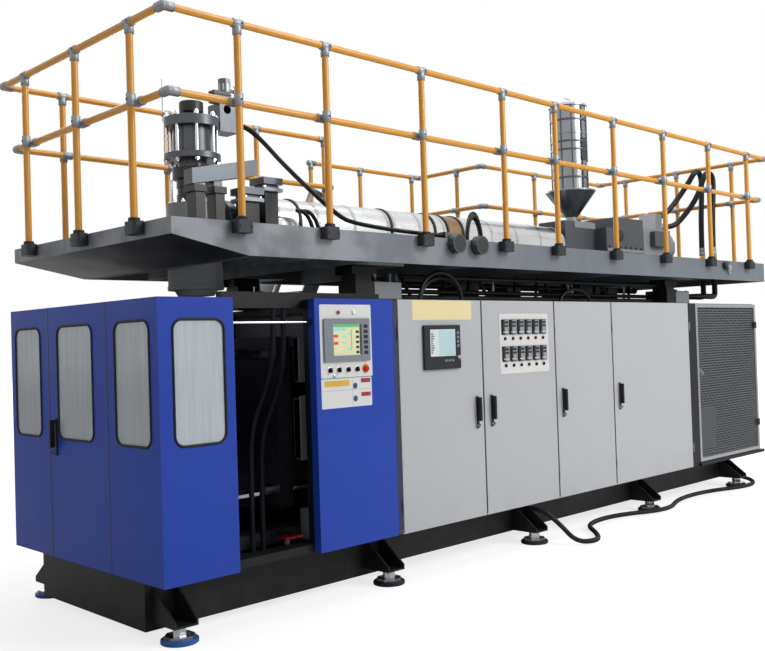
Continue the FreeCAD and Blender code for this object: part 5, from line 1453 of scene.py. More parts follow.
@dataclass
class OperatorPanel:
    """White panel of the operator door: screen, keys, lamps, switches, emergency stop and bare fields."""

    left: float = 1.121
    right: float = 1.553
    low: float = 1.205
    split: float = 1.389
    high: float = 1.845
    switch_z: float = 1.44
    switches: Sequence[float] = (1.193, 1.267, 1.343, 1.419)
    stop_x: float = 1.493
    body: str = "hmi_door"

    def make(self) -> None:
        """Build the panel and its controls."""
        plate = flat(Shape(), self.left, self.right, self.split + 0.002, self.high, 0.0, -0.003, 0.008)
        flat(plate, self.left, self.right - 0.01, self.low, self.split - 0.002, 0.0, -0.0025, 0.006)
        plate.make("panel_plates", self.body, Finish.PALE, "panel_white", ["operator_panel"])
        bezel = Shape()
        frame_ring(
            bezel, rounded(1.49, 1.758, 1.145, 1.529, 0.01, 4), rounded(1.528, 1.724, 1.219, 1.457, 0.003, 4),
            Axis.Y, -0.003, -0.017)
        bezel.make("panel_bezel", self.body, Finish.BEZEL_GREY, "motor_grey", ["operator_panel"], bevel=0.002)
        keys = Shape()
        for row in range(6):
            z = 1.532 + row * 0.033
            flat(keys, 1.474, 1.508, z, z + 0.022, -0.0165, -0.0182, 0.002)
        keys.make("panel_keys", self.body, Finish.BEZEL_DARK, "handle_black")
        self.screen()
        self.lamps()
        self.controls()
        self.fields()

    def screen(self) -> None:
        """Lit screen with plain blocks: a title bar, two data columns and a column of keys."""
        flat(Shape(), 1.219, 1.457, 1.528, 1.724, -0.004, -0.01).make(
            "screen_ground", self.body, Finish.SCREEN_CREAM, "panel_white", ["operator_panel"])
        cyan = [(1.225, 1.33, 1.682, 1.699)]
        cyan += [
            (x, x + 0.028, z, z + 0.014) for x, z in ((1.3, 1.64), (1.3, 1.6), (1.345, 1.655), (1.345, 1.56))]
        red = [(1.226, 1.262, z, z + 0.018) for z in (1.64, 1.596)] + [(1.372, 1.376, 1.56, 1.69)]
        dark = [(1.412, 1.438, 1.538 + row * 0.032, 1.554 + row * 0.032) for row in range(5)]
        for name, finish, blocks in (
                ("screen_title", Finish.SCREEN_GREEN, [(1.221, 1.44, 1.704, 1.722)]),
                ("screen_cyan", Finish.SCREEN_CYAN, cyan), ("screen_red", Finish.SCREEN_RED, red),
                ("screen_dark", Finish.SCREEN_DARK, dark)):
            shape = Shape()
            for block in blocks:
                flat(shape, *block, -0.0098, -0.0108, 0.001)
            if finish is Finish.SCREEN_DARK:
                flat(shape, 1.444, 1.455, 1.53, 1.722, -0.0098, -0.0104, 0.001)
            shape.make(name, self.body, finish, "panel_white")

    def lamps(self) -> None:
        """Two signal lamps: a bright collar and a domed lens each."""
        collars = Shape()
        for x, finish, name in ((1.271, Finish.LAMP_RED, "lamp_red"), (1.405, Finish.LAMP_GREEN, "lamp_green")):
            centre = (x, -0.003, 1.797)
            collars.lathe(
                [(0.0165, 0), (0.0165, -0.004), (0.0135, -0.0055), (0.0135, 0)], centre, Axis.Y, 28, True)
            turn = np.linspace(0, 1.35, 8)
            dome = [(0.0132, 0.0)] + list(zip(0.0132 * np.cos(turn), -0.0045 - 0.0095 * np.sin(turn)))
            lens = Shape().lathe(dome, centre, Axis.Y, 28)
            lens.make(name, self.body, finish, "estop_red", ["operator_panel"])
        for x in self.switches:
            collars.lathe([(0.019, 0), (0.019, -0.002), (0.0165, -0.0028), (0.0155, 0)],
                          (x, -0.003, self.switch_z), Axis.Y, 28, True)
        collars.lathe(
            [(0.01, 0), (0.01, -0.008), (0.006, -0.01), (0.004, -0.01)], (1.227, -0.003, 1.4035), Axis.Y, 24)
        for x in (self.left + 0.01, self.right - 0.01):
            for z in (self.split + 0.012, self.high - 0.01):
                collars.lathe([(0.0035, 0), (0.0035, -0.0012), (0.002, -0.002)], (x, -0.003, z), Axis.Y, 12)
        collars.make("panel_collars", self.body, Finish.EDGE_SILVER, "bright_steel", ["operator_panel"])

    def controls(self) -> None:
        """Four selector switches, each with its pointer bar, and the emergency stop on its plate."""
        for index, x in enumerate(self.switches, 1):
            knob = Shape().lathe(
                [(0.015, 0), (0.015, -0.006), (0.0138, -0.0075)], (x, -0.0033, self.switch_z), Axis.Y, 28)
            knob.slab(rounded(self.switch_z - 0.0145, self.switch_z + 0.0145, x - 0.0042, x + 0.0042, 0.003, 3),
                      Axis.Y, -0.0268, -0.01)
            knob.make(f"selector_knob_{index}", f"selector_{index}", Finish.HANDLE, "handle_black",
                      [f"selector_switch_{index}"], bevel=0.001)
            mark = Shape(
                ).block(x - 0.0009, x + 0.0009, -0.027, -0.0266, self.switch_z + 0.002, self.switch_z + 0.013)
            mark.make(f"selector_mark_{index}", f"selector_{index}", Finish.PALE, "panel_white")
        centre = (self.stop_x, 0.0, self.switch_z)
        turn = np.linspace(0, 1.4, 9)
        head = [(0.0148, -0.0168), (0.0148, -0.0098), (0.0218, -0.01)]
        head += list(zip(0.022 * np.cos(turn) ** 0.7, -0.013 - 0.01 * np.sin(turn)))
        Shape().lathe(head, centre, Axis.Y, 36).make(
            "stop_button", "estop", Finish.BUTTON_RED, "estop_red", ["estop_button"], crease=50)
        plate = Shape().lathe([(0.0125, -0.0028), (0.03, -0.0028), (0.03, -0.0036), (0.0135, -0.0036),
                               (0.0135, -0.0104), (0.0125, -0.0106)], centre, Axis.Y, 36, True)
        plate.make("stop_plate", self.body, Finish.BUTTON_YELLOW, "rail_yellow")

    def fields(self) -> None:
        """Bare colour fields of the lower plate."""
        yellow = flat(Shape(), 1.146, 1.352, 1.338, 1.374, -0.002, -0.003, 0.004)
        yellow.make("field_yellow", self.body, Finish.FIELD_YELLOW, "panel_white")
        red, blue = Shape(), Shape()
        flat(red, 1.45, 1.532, 1.352, 1.38, -0.002, -0.003)
        flat(red, 1.45, 1.532, 1.266, 1.292, -0.002, -0.003)
        for x, z in ((1.4, 1.335), (1.4, 1.255)):
            blue.lathe([(0.019, -0.002), (0.019, -0.003)], (x, 0.0, z), Axis.Y, 28)
        red.make("field_red", self.body, Finish.FIELD_RED, "panel_white")
        blue.make("field_blue", self.body, Finish.FIELD_BLUE, "panel_white")
        seam = flat(Shape(), 1.126, 1.538, 1.3115, 1.313, -0.002, -0.0028, 0.0005)
        flat(seam, 1.376, 1.3776, 1.21, 1.385, -0.002, -0.0028, 0.0005)
        seam.make("field_lines", self.body, Finish.BEZEL_GREY, "motor_grey")


@dataclass
class CabinetFronts:
    """What the electrical doors carry: the bare label, the parison controller and the heat controllers."""

    controller: tuple[float, float] = (2.031, 1.404)
    zones: tuple[float, float] = (2.857, 1.34)
    columns: int = 6
    pitch: float = 0.09333

    def make(self) -> None:
        """Build all door equipment."""
        Shape().slab(rounded(1.745, 1.878, 1.94, 2.547, 0.004, 3), Axis.Y, -0.0012, 0.0).make(
            "bare_label", "cabinet_door_1", Finish.LABEL, "panel_white")
        self.parison()
        self.heat()

    def parison(self) -> None:
        """Dark controller with its screen, keys and silver knob."""
        x, z = self.controller
        body = "cabinet_door_1"
        case = Shape()
        frame_ring(case, rounded(z, z + 0.304, x, x + 0.368, 0.01, 4),
                   rounded(z + 0.09, z + 0.275, x + 0.058, x + 0.318, 0.004, 4), Axis.Y, 0.0, -0.022)
        case.make(
            "controller_case", body, Finish.BEZEL_DARK, "handle_black", ["parison_controller"], bevel=0.004)
        flat(Shape(), x + 0.056, x + 0.32, z + 0.088, z + 0.277, -0.002, -0.0172).make(
            "controller_glass", body, Finish.SCREEN_WHITE, "panel_white", ["parison_controller"])
        cyan = flat(Shape(), x + 0.15, x + 0.314, z + 0.096, z + 0.268, -0.017, -0.0182, 0.002)
        cyan.make("controller_field", body, Finish.SCREEN_SKY, "panel_white")
        curve = Shape()
        for step in range(9):
            reach = 0.016 + 0.018 * math.sin(step * 0.7) ** 2
            flat(curve, x + 0.068, x + 0.068 + reach, z + 0.11 + step * 0.016, z + 0.121 + step * 0.016,
                 -0.017, -0.0182, 0.001)
        curve.make("controller_bars", body, Finish.BEZEL_GREY, "panel_white")
        keys = Shape()
        for row in range(4):
            flat(keys, x + 0.33, x + 0.352, z + 0.15 + row * 0.03, z + 0.168 + row * 0.03, -0.0215, -0.0228,
                 0.002)
        for column in range(3):
            flat(keys, x + 0.2 + column * 0.034, x + 0.224 + column * 0.034, z + 0.052, z + 0.066, -0.0215,
                 -0.0228, 0.002)
        keys.make("controller_keys", body, Finish.BEZEL_GREY, "motor_grey")
        knob = Shape().lathe([(0.016, 0), (0.016, -0.009), (0.014, -0.0138), (0.006, -0.014)],
                             (x + 0.34, -0.0223, z + 0.078), Axis.Y, 36)
        knob.block(x + 0.3392, x + 0.3408, -0.0363, -0.0345, z + 0.08, z + 0.092)
        knob.make("controller_dial", "controller_knob", Finish.CHROME_UP, "bright_steel", ["controller_knob"])

    def heat(self) -> None:
        """Twelve heat controllers with their switches on a pale plate."""
        x0, z0 = self.zones
        body = "cabinet_door_2"
        flat(Shape(), x0, x0 + 0.6, z0, z0 + 0.446, 0.0, -0.003, 0.004).make(
            "zone_plate", body, Finish.PALE, "panel_white", ["temperature_panel"])
        cases, faces, windows, keys, knobs, marks = (Shape() for _ in range(6))
        for row in range(2):
            z = z0 + 0.291 - row * 0.2
            for column in range(self.columns):
                x = x0 + 0.024 + column * self.pitch
                flat(cases, x, x + 0.076, z, z + 0.112, -0.003, -0.014, 0.003)
                flat(faces, x + 0.024, x + 0.072, z + 0.004, z + 0.108, -0.0135, -0.0146, 0.003)
                flat(windows, x + 0.01, x + 0.066, z + 0.08, z + 0.1, -0.0144, -0.015, 0.001)
                flat(windows, x + 0.01, x + 0.066, z + 0.056, z + 0.072, -0.0144, -0.015, 0.001)
                for key in range(4):
                    kx = x + 0.01 + key * 0.0148
                    flat(keys, kx, kx + 0.01, z + 0.014, z + 0.022, -0.0144, -0.0152, 0.001)
                sx, sz = x + 0.038, z - 0.03
                knobs.lathe([(0.012, 0), (0.012, -0.006), (0.0105, -0.008)], (sx, -0.003, sz), Axis.Y, 20)
                (marks if row == 0 else knobs).block(
                    sx - 0.0028, sx + 0.0028, -0.018, -0.0105, sz - 0.011, sz + 0.011)
        cases.make("zone_cases", body, Finish.HANDLE, "handle_black", ["temperature_panel"], bevel=0.001)
        faces.make("zone_faces", body, Finish.MOTOR_GREY, "motor_grey")
        windows.make("zone_windows", body, Finish.SCREEN_DARK, "handle_black")
        keys.make("zone_keys", body, Finish.PALE, "panel_white")
        knobs.make("zone_knobs", body, Finish.HANDLE, "handle_black")
        marks.make("zone_pointers", body, Finish.BUTTON_RED, "estop_red")


@dataclass
class HydraulicBay:
    """Perforated door with its bright frame, and the pump unit behind it."""

    left: float = 5.848
    right: float = 7.134
    low: float = 0.368
    high: float = 1.876
    edge: float = 0.034
    sheet_y: float = 0.0125
    axis: tuple[float, float] = (0.72, 0.98)

    def make(self) -> None:
        """Build the door and the pump unit."""
        e = self.edge
        ring = Shape()
        frame_ring(
            ring, rounded(self.low, self.high, self.left, self.right, 0.003, 2),
            rounded(self.low + e, self.high - e, self.left + e, self.right - e, 0.003, 2), Axis.Y, 0.03, 0.0)
        ring.make("mesh_frame", "mesh_door", Finish.EDGE_SILVER, "mesh_steel", ["mesh_door"], bevel=0.002)
        sheet = Shape().block(self.left + e - 0.004, self.right - e + 0.004, self.sheet_y,
                              self.sheet_y + 0.0008, self.low + e - 0.004, self.high - e + 0.004)
        hinges = Shape()
        for z in (0.62, 1.63):
            hinges.block(7.072, 7.112, -0.011, -0.0005, z, z + 0.066)
            hinges.rod((7.112, -0.008, z), (7.112, -0.008, z + 0.066), 0.009, 16)
        hinges.make("mesh_hinges", "mesh_door", Finish.HANDLE, "handle_black", bevel=0.002)
        sheet.make("mesh_sheet", "mesh_door", Finish.SHEET, "mesh_steel", ["mesh_door"])
        self.pump()

    def pump(self) -> None:
        """Oil tank, ribbed motor, bell housing and pump."""
        y, z = self.axis
        tank = Shape().block(5.929, 7.02, 0.42, 1.63, 0.38, 0.8)
        tank.block(6.0, 6.26, 0.413, 0.42, 0.47, 0.7)
        tank.make("oil_tank", "base", Finish.GEAR_GREY, "motor_grey", ["pump_unit"], bevel=0.008)
        motor = Shape().net(finned((6.049, 6.489), y, z, 0.138, 0.15, 36), wrap_v=True, cap=True)
        motor.lathe([(0.144, 0), (0.149, 0.004), (0.149, 0.04), (0.13, 0.052)], (6.019, y, z), Axis.X, 40)
        motor.block(6.16, 6.36, y - 0.06, y + 0.06, z + 0.12, z + 0.149)
        motor.block(6.089, 6.449, 0.62, 0.82, 0.8, 0.88)
        motor.make("pump_motor", "base", Finish.PALE, "motor_grey", ["pump_unit"])
        pump = Shape().lathe([(0.11, 0), (0.11, 0.015), (0.08, 0.02), (0.08, 0.105), (0.108, 0.11),
                              (0.108, 0.12)], (6.489, y, z), Axis.X, 32)
        pump.lathe([(0.06, 0.12), (0.074, 0.13), (0.074, 0.25), (0.06, 0.265), (0.06, 0.3)], (6.489, y, z),
                   Axis.X, 32)
        pump.tube(np.array([(6.66, y, z + 0.06), (6.66, y, z + 0.26), (6.6, y - 0.03, z + 0.33),
                            (6.42, y - 0.08, z + 0.36), (6.18, y - 0.1, z + 0.36)]), 0.016, 14)
        pump.make("hydraulic_pump", "base", Finish.HEAD_GREY, "dark_steel", ["pump_unit"])
        bar = Shape().rod((5.9, 0.35, 1.62), (6.95, 0.52, 1.16), 0.017, 16, 0.003)
        bar.make("brace_bar", "base", Finish.PALE, "motor_grey")


# ---- base, clamp and bay ----
@dataclass
class Footing:
    """Levelling feet, base beams, stair and deck."""

    feet: Sequence[float] = (0.171, 1.782, 3.384, 5.12, 6.85)
    rows: Sequence[float] = (0.14, 1.69)
    radius: float = 0.105

    def make(self) -> None:
        """Dress the steelwork and build the feet."""
        dress(Finish.BASE_BLACK, "base_frame")
        dress(Finish.DECK, "deck")
        dress(Finish.ZINC, "access_stair")
        dress(Finish.SCREW_STEEL, "foot_studs")
        r = self.radius
        pad = [(r - 0.004, 0), (r, 0.003), (r, 0.02), (r - 0.008, 0.0262), (r - 0.03, 0.0262)]
        steel = Shape()
        for finish, name, places in ((Finish.PAD_BLUE, "blue_pads", self.feet[:1]),
                                     (Finish.PAD_BLACK, "black_pads", self.feet[1:])):
            pads = Shape()
            for x in places:
                for y in self.rows:
                    pads.lathe(pad, (x, y, 0.0), sides=40)
                    steel.lathe([(0.0785, 0.026), (0.0785, 0.034), (0.06, 0.0424), (0.024, 0.0424)],
                                (x, y, 0.0), sides=40)
                    steel.lathe(
                        [(0.036, 0.042), (0.04, 0.045), (0.04, 0.09), (0.036, 0.0925)], (x, y, 0.0), sides=6)
            pads.make(name, "base", finish, "pad_rubber", ["foot_pads"])
        steel.make("foot_caps", "base", Finish.CHROME_UP, "bright_steel", ["foot_pads"])


@dataclass
class MouldingBay:
    """Tie bars, platens, clamp cylinder and the ironwork of the bay."""

    bars_y: Sequence[float] = (0.56, 1.27)
    bars_z: Sequence[float] = (0.67, 1.55)
    axis: tuple[float, float] = (0.915, 1.11)

    def make(self) -> None:
        """Dress the clamp and build its round parts."""
        dress(Finish.PLATEN_BLACK, "clamp_frame", "platen_left", "platen_right")
        dress(Finish.CHROME, "tie_bars")
        y, z = self.axis
        nuts = Shape()
        for by in self.bars_y:
            for bz in self.bars_z:
                for x in (0.192, 1.628):
                    nuts.lathe([(0.046, -0.004), (0.046, 0.004)], (x, by, bz), Axis.X, 28)
        nuts.make("bar_collars", "base", Finish.SCREW_STEEL, "bright_steel")
        barrel = Shape().lathe(
            [(0.1, 1.27), (0.106, 1.276), (0.106, 1.31), (0.094, 1.316), (0.094, 1.56), (0.106, 1.566),
             (0.106, 1.6), (0.14, 1.6), (0.14, 1.63), (0.1, 1.63)], (0.0, y, z), Axis.X, 44)
        barrel.make("clamp_barrel", "base", Finish.GEAR_GREY, "motor_grey", ["clamp_cylinder"])
        rods = Shape()
        for ry, rz in around(y, z, 0.101, 4, 45.0):
            rods.rod((1.3, ry, rz), (1.59, ry, rz), 0.006, 12)
        rods.make("barrel_rods", "base", Finish.CHROME, "bright_steel")
        faces, grooves = Shape(), Shape()
        for body, x in (("left_platen", 0.5655), ("right_platen", 1.1345)):
            plate = Shape()
            # painted shade: dark strips across the platen faces for the shade inside each slot
            for row in range(5):
                zz = 0.72 + row * 0.2
                plate.block(x - 0.0015, x + 0.0015, 0.5, 1.33, zz - 0.008, zz + 0.008)
            plate.make(f"{body}_slots", body, Finish.SHADE_NAVY, "dark_frame")
        plates = Shape()
        plates.block(1.19, 1.43, 0.292, 0.3, 1.37, 1.65)
        plates.block(1.19, 1.5, 0.292, 0.3, 0.87, 1.28)
        plates.block(1.098, 1.122, 0.352, 0.38, 0.3405, 0.372)
        plates.make("bay_plates", "base", Finish.MOTOR_GREY, "motor_grey", bevel=0.003)
        for z0, z1, x0, x1 in ((1.36, 1.66, 1.27, 1.43), (0.86, 1.26, 1.26, 1.5)):
            for step in range(4):
                x = x0 + (x1 - x0) * step / 3.3
                faces.block(x, x + 0.022, 0.3, 0.44, z0, z1)
            faces.block(x0, x1, 0.38, 0.446, z0 + 0.01, z1 - 0.01)
        faces.make("bay_ribs", "base", Finish.RIB_GREY, "motor_grey", bevel=0.003)
        grooves.block(1.09, 1.23, 0.35, 0.42, 0.372, 0.392)
        grooves.make("bay_tray", "base", Finish.BUTTON_RED, "estop_red", bevel=0.004)
        clutter = Shape()
        for x0, x1, top in ((1.29, 1.42, 0.54), (1.45, 1.56, 0.47), (1.59, 1.7, 0.6)):
            clutter.block(x0, x1, 0.33, 0.446, 0.3405, top)
        for x in (1.33, 1.38, 1.48, 1.53, 1.64):
            clutter.rod((x, 0.39, 0.46), (x, 0.39, 0.64), 0.013, 14, 0.003)
        clutter.make("bay_valves", "base", Finish.MOTOR_GREY, "motor_grey", bevel=0.004)


# ---- platform: extruder ----
@dataclass
class Extruder:
    """Screw barrel with its bright covers, gearbox, motor, manifold and hopper loader."""

    y: float = 0.915
    z: float = 2.475
    deck: float = 2.305
    cover: float = 0.165
    covers: Sequence[tuple[float, float]] = ((1.41, 2.52), (2.53, 3.16), (3.37, 4.82))
    band: tuple[float, float] = (3.17, 3.36)
    hopper_x: float = 5.18
    motor_z: float = 2.535

    def hood(self, shape: Shape, x0: float, x1: float, grow: float) -> None:
        """Cover: the section is a half circle of radius R over two upright skirts, swept along the barrel.

        Args:
            shape: where it is added.
            x0: start of the cover.
            x1: end of the cover.
            grow: what its radius has over the plain cover.
        """
        turn = np.linspace(0, math.pi, 29)
        r = self.cover + grow
        ring = np.concatenate([[(self.y + r, self.deck + 0.001)], np.stack([self.y + r * np.cos(turn),
                               self.z + r * np.sin(turn)], 1), [(self.y - r, self.deck + 0.001)]])
        shape.slab(ring, Axis.X, x0, x1)

    def make(self) -> None:
        """Build the extruder from the head to the motor."""
        self.barrel_covers()
        self.drive()
        self.loader()

    def barrel_covers(self) -> None:
        """Covers with straps, knobs, hoops, the heater band and the barrel tube; black patches on the covers'
        sides paint the shade in each vent slot.
        """
        sheets, straps, slot_shade, knobs = (Shape() for _ in range(4))
        r = self.cover
        for x0, x1 in self.covers:
            self.hood(sheets, x0, x1, 0.001)
            count = max(2, round((x1 - x0) / 0.36))
            for step in range(count + 1):
                x = x0 + 0.012 + (x1 - x0 - 0.052) * step / count
                self.hood(straps, x, x + 0.028, 0.004)
            # painted shade: black patches for the shade seen through each vent slot
            for step in range(int((x1 - x0 - 0.12) / 0.042)):
                x = x0 + 0.07 + step * 0.042
                for side in (-1, 1):
                    slot_shade.block(x, x + 0.012, self.y + side * (r + 0.0022) - 0.0012,
                                self.y + side * (r + 0.0022) + 0.0012, 2.372, 2.432)
            for x in np.arange(x0 + 0.16, x1 - 0.06, 0.33):
                centre = (float(x), self.y - r - 0.001, 2.35)
                knobs.lathe([(0.016, 0), (0.016, -0.01), (0.026, -0.014), (0.026, -0.032), (0.02, -0.036)],
                            centre, Axis.Y, 20)
        sheets.make("cover_sheets", "platform", Finish.STAINLESS, "stainless", ["barrel_covers"])
        straps.make("cover_straps", "platform", Finish.CHROME, "bright_steel")
        slot_shade.make("cover_slot_shade", "platform", Finish.FRAME_BLACK, "dark_frame")
        knobs.make("cover_knobs", "platform", Finish.HANDLE, "handle_black")
        hoops = Shape()
        for x in (1.62, 2.525, 3.02, 3.365):
            self.hood(hoops, x - 0.01, x + 0.01, 0.01)
        self.hood(hoops, self.band[0], self.band[0] + 0.02, 0.008)
        hoops.make("cover_hoops", "platform", Finish.CAST_BLACK, "dark_steel")
        band = Shape()
        self.hood(band, *self.band, 0.002)
        band.make("heater_band", "platform", Finish.BRONZE, "dark_steel", ["barrel_covers"])
        tube = Shape().lathe([(0.12, 1.055), (0.121, 1.058), (0.121, 1.112), (0.12, 1.115), (0.0765, 1.115),
                              (0.0765, 4.85)], (0.0, self.y, self.z), Axis.X, 44)
        for by, bz in around(self.y, self.z, 0.1, 8, 22.5):
            tube.lathe([(0.013, 0), (0.013, 0.016)], (1.112, by, bz), Axis.X, 6)
        tube.make("barrel_tube", "platform", Finish.HEAD_GREY, "dark_steel", ["barrel"])
        dress(Finish.SCREW_STEEL, "extruder_screw")

    def drive(self) -> None:
        """Gearbox with its lid and bolts, boxed motor, terminal box and manifold."""
        dress(Finish.GEAR_GREY, "gearbox")
        dress(Finish.MOTOR_GREY, "extruder_motor")
        lid, bolts = Shape(), Shape()
        lid.block(5.36, 6.02, 0.628, 0.635, 2.42, 2.45)
        lid.block(5.36, 6.02, 1.195, 1.202, 2.42, 2.45)
        lid.block(5.0, 5.35, 0.758, 0.766, 2.64, 2.701)
        lid.block(5.02, 5.34, 0.79, 1.04, 2.7005, 2.712)
        lid.make("gearbox_flanges", "platform", Finish.MOTOR_GREY, "motor_grey", bevel=0.002)
        for x in np.linspace(5.4, 5.98, 7):
            for z in (2.405, 2.465):
                bolts.lathe([(0.011, 0), (0.011, -0.009)], (float(x), 0.635, z), Axis.Y, 6)
        bolts.lathe([(0.055, 0), (0.055, -0.008), (0.048, -0.01)], (5.6, 0.635, 2.58), Axis.Y, 32)
        bolts.make("gearbox_bolts", "platform", Finish.CAST_BLACK, "dark_steel")
        fins, motor = Shape(), Shape()
        fins.net(finned((6.092, 6.738), self.y, self.motor_z, 0.19, 0.2035, 48), wrap_v=True, cap=True)
        fins.make("motor_fins", "platform", Finish.MOTOR_GREY, "motor_grey")
        motor.lathe([(0.14, 6.74), (0.186, 6.745), (0.186, 6.835), (0.17, 6.8505), (0.1, 6.8505)],
                    (0.0, self.y, self.motor_z), Axis.X, 40)
        motor.block(6.15, 6.7, 0.7, 0.716, 2.4155, 2.7)
        motor.make("motor_cowl", "platform", Finish.MOTOR_GREY, "motor_grey", bevel=0.003)
        box = Shape().block(6.279, 6.541, 0.6435, 0.72, 2.514, 2.666)
        box.block(6.274, 6.546, 0.637, 0.6435, 2.509, 2.671)
        box.make("terminal_box", "platform", Finish.GEAR_GREY, "motor_grey", bevel=0.004)
        block = Shape().slab(rounded(0.7715, 0.9635, 2.66, 2.881, 0.004, 2), Axis.X, 6.519, 6.661)
        for way, port in (((90, -80, 50), (6.7, 0.88, 2.84)), ((110, -50, 4), (6.69, 0.785, 2.747))):
            d = np.array(way) / np.linalg.norm(way)
            block.rod(np.array(port) - d * 0.05, np.array(port) + d * 0.012, 0.034, 6)
            block.rod(np.array(port) - d * 0.02, np.array(port) + d * 0.006, 0.038, 28, 0.002)
        block.rod((6.56, 0.9, 2.875), (6.56, 0.9, 2.905), 0.02, 24, 0.003)
        block.make("hose_manifold", "platform", Finish.EDGE_SILVER, "bright_steel", bevel=0.002)

    def loader(self) -> None:
        """Hopper cone, slim loader body, sight glass, band clamps and lid."""
        x, y = self.hopper_x, self.y
        # painted shade: a darker copy of the hopper's steel laid over the cone, which faces down
        cone_shade = Shape().lathe([(0.06, 2.762), (0.2372, 3.0005), (0.236, 3.002), (0.058, 2.763)], (x, y, 0.0),
                             sides=56, ring=True)
        cone_shade.make("hopper_cone_shade", "platform", Finish.SHADED_CONE, "stainless", crease=25)
        cone = Shape().lathe(
            [(0.056, 2.7), (0.075, 2.702), (0.075, 2.712), (0.056, 2.716), (0.056, 2.76), (0.236, 3.0),
             (0.241, 3.003), (0.241, 3.016), (0.166, 3.018), (0.166, 3.24), (0.1705, 3.243), (0.1705, 3.255),
             (0.166, 3.258), (0.166, 3.56), (0.1705, 3.563), (0.1705, 3.576), (0.166, 3.579), (0.166, 3.834),
             (0.163, 3.834), (0.163, 3.016), (0.053, 2.756), (0.053, 2.7)], (x, y, 0.0), sides=56, ring=True)
        cone.make("hopper_shell", "platform", Finish.STAINLESS_UP, "stainless", ["hopper"], crease=25)
        # painted shade and a faint painted glow: the sight glass is a dark glowing sheet for the shaded inside
        # of the hopper
        glass = Shape().slab(rounded(3.3, 3.52, x - 0.04, x + 0.04, 0.012, 4), Axis.Y, y - 0.1755, y - 0.16)
        glass.make("sight_glass", "platform", Finish.SCREEN_DARK, "clear_pane", bevel=0.002)
        cage = Shape()
        for px, py in around(x, y, 0.1725, 10, 9.0):
            cage.rod((px, py, 3.02), (px, py, 3.83), 0.0062, 10)
        for level in (3.13, 3.4, 3.48, 3.69):
            cage.lathe([(0.166, 0), (0.178, 0.002), (0.178, 0.016), (0.166, 0.018)], (x, y, level), sides=48,
                       ring=True)
        cage.make("loader_cage", "platform", Finish.HEAD_GREY, "bright_steel")
        clips = Shape()
        for px, py in around(x, y, 0.172, 3, -70.0):
            clips.rod((px, py, 3.76), (px, py, 3.826), 0.009, 12, 0.002)
            clips.rod((px, py, 3.215), (px, py, 3.285), 0.011, 12, 0.002)
        for px, py in around(x, y, 0.065, 4, 45.0):
            clips.rod((px, py, 2.712), (px, py, 2.724), 0.008, 6)
        clips.make("loader_clips", "platform", Finish.CHROME_UP, "bright_steel")
        turn = np.linspace(0, 1.2, 9)
        crown = [(0.1855, 3.8352), (0.1858, 3.85), (0.18, 3.854), (0.132, 3.854)]
        crown += [(0.13 * float(np.cos(a) ** 0.8), 3.854 + 0.033 * float(np.sin(a))) for a in turn]
        lid = Shape().lathe(crown, (x, y, 0.0), sides=56)
        for side in (-1, 1):
            lid.rod((x + side * 0.05, y, 3.876), (x + side * 0.05, y, 3.924), 0.006, 12)
        lid.rod((x - 0.058, y, 3.9245), (x + 0.058, y, 3.9245), 0.0062, 14, 0.002)
        lid.make("loader_cap", "lid", Finish.CHROME_UP, "stainless", ["loader_lid"], crease=40)


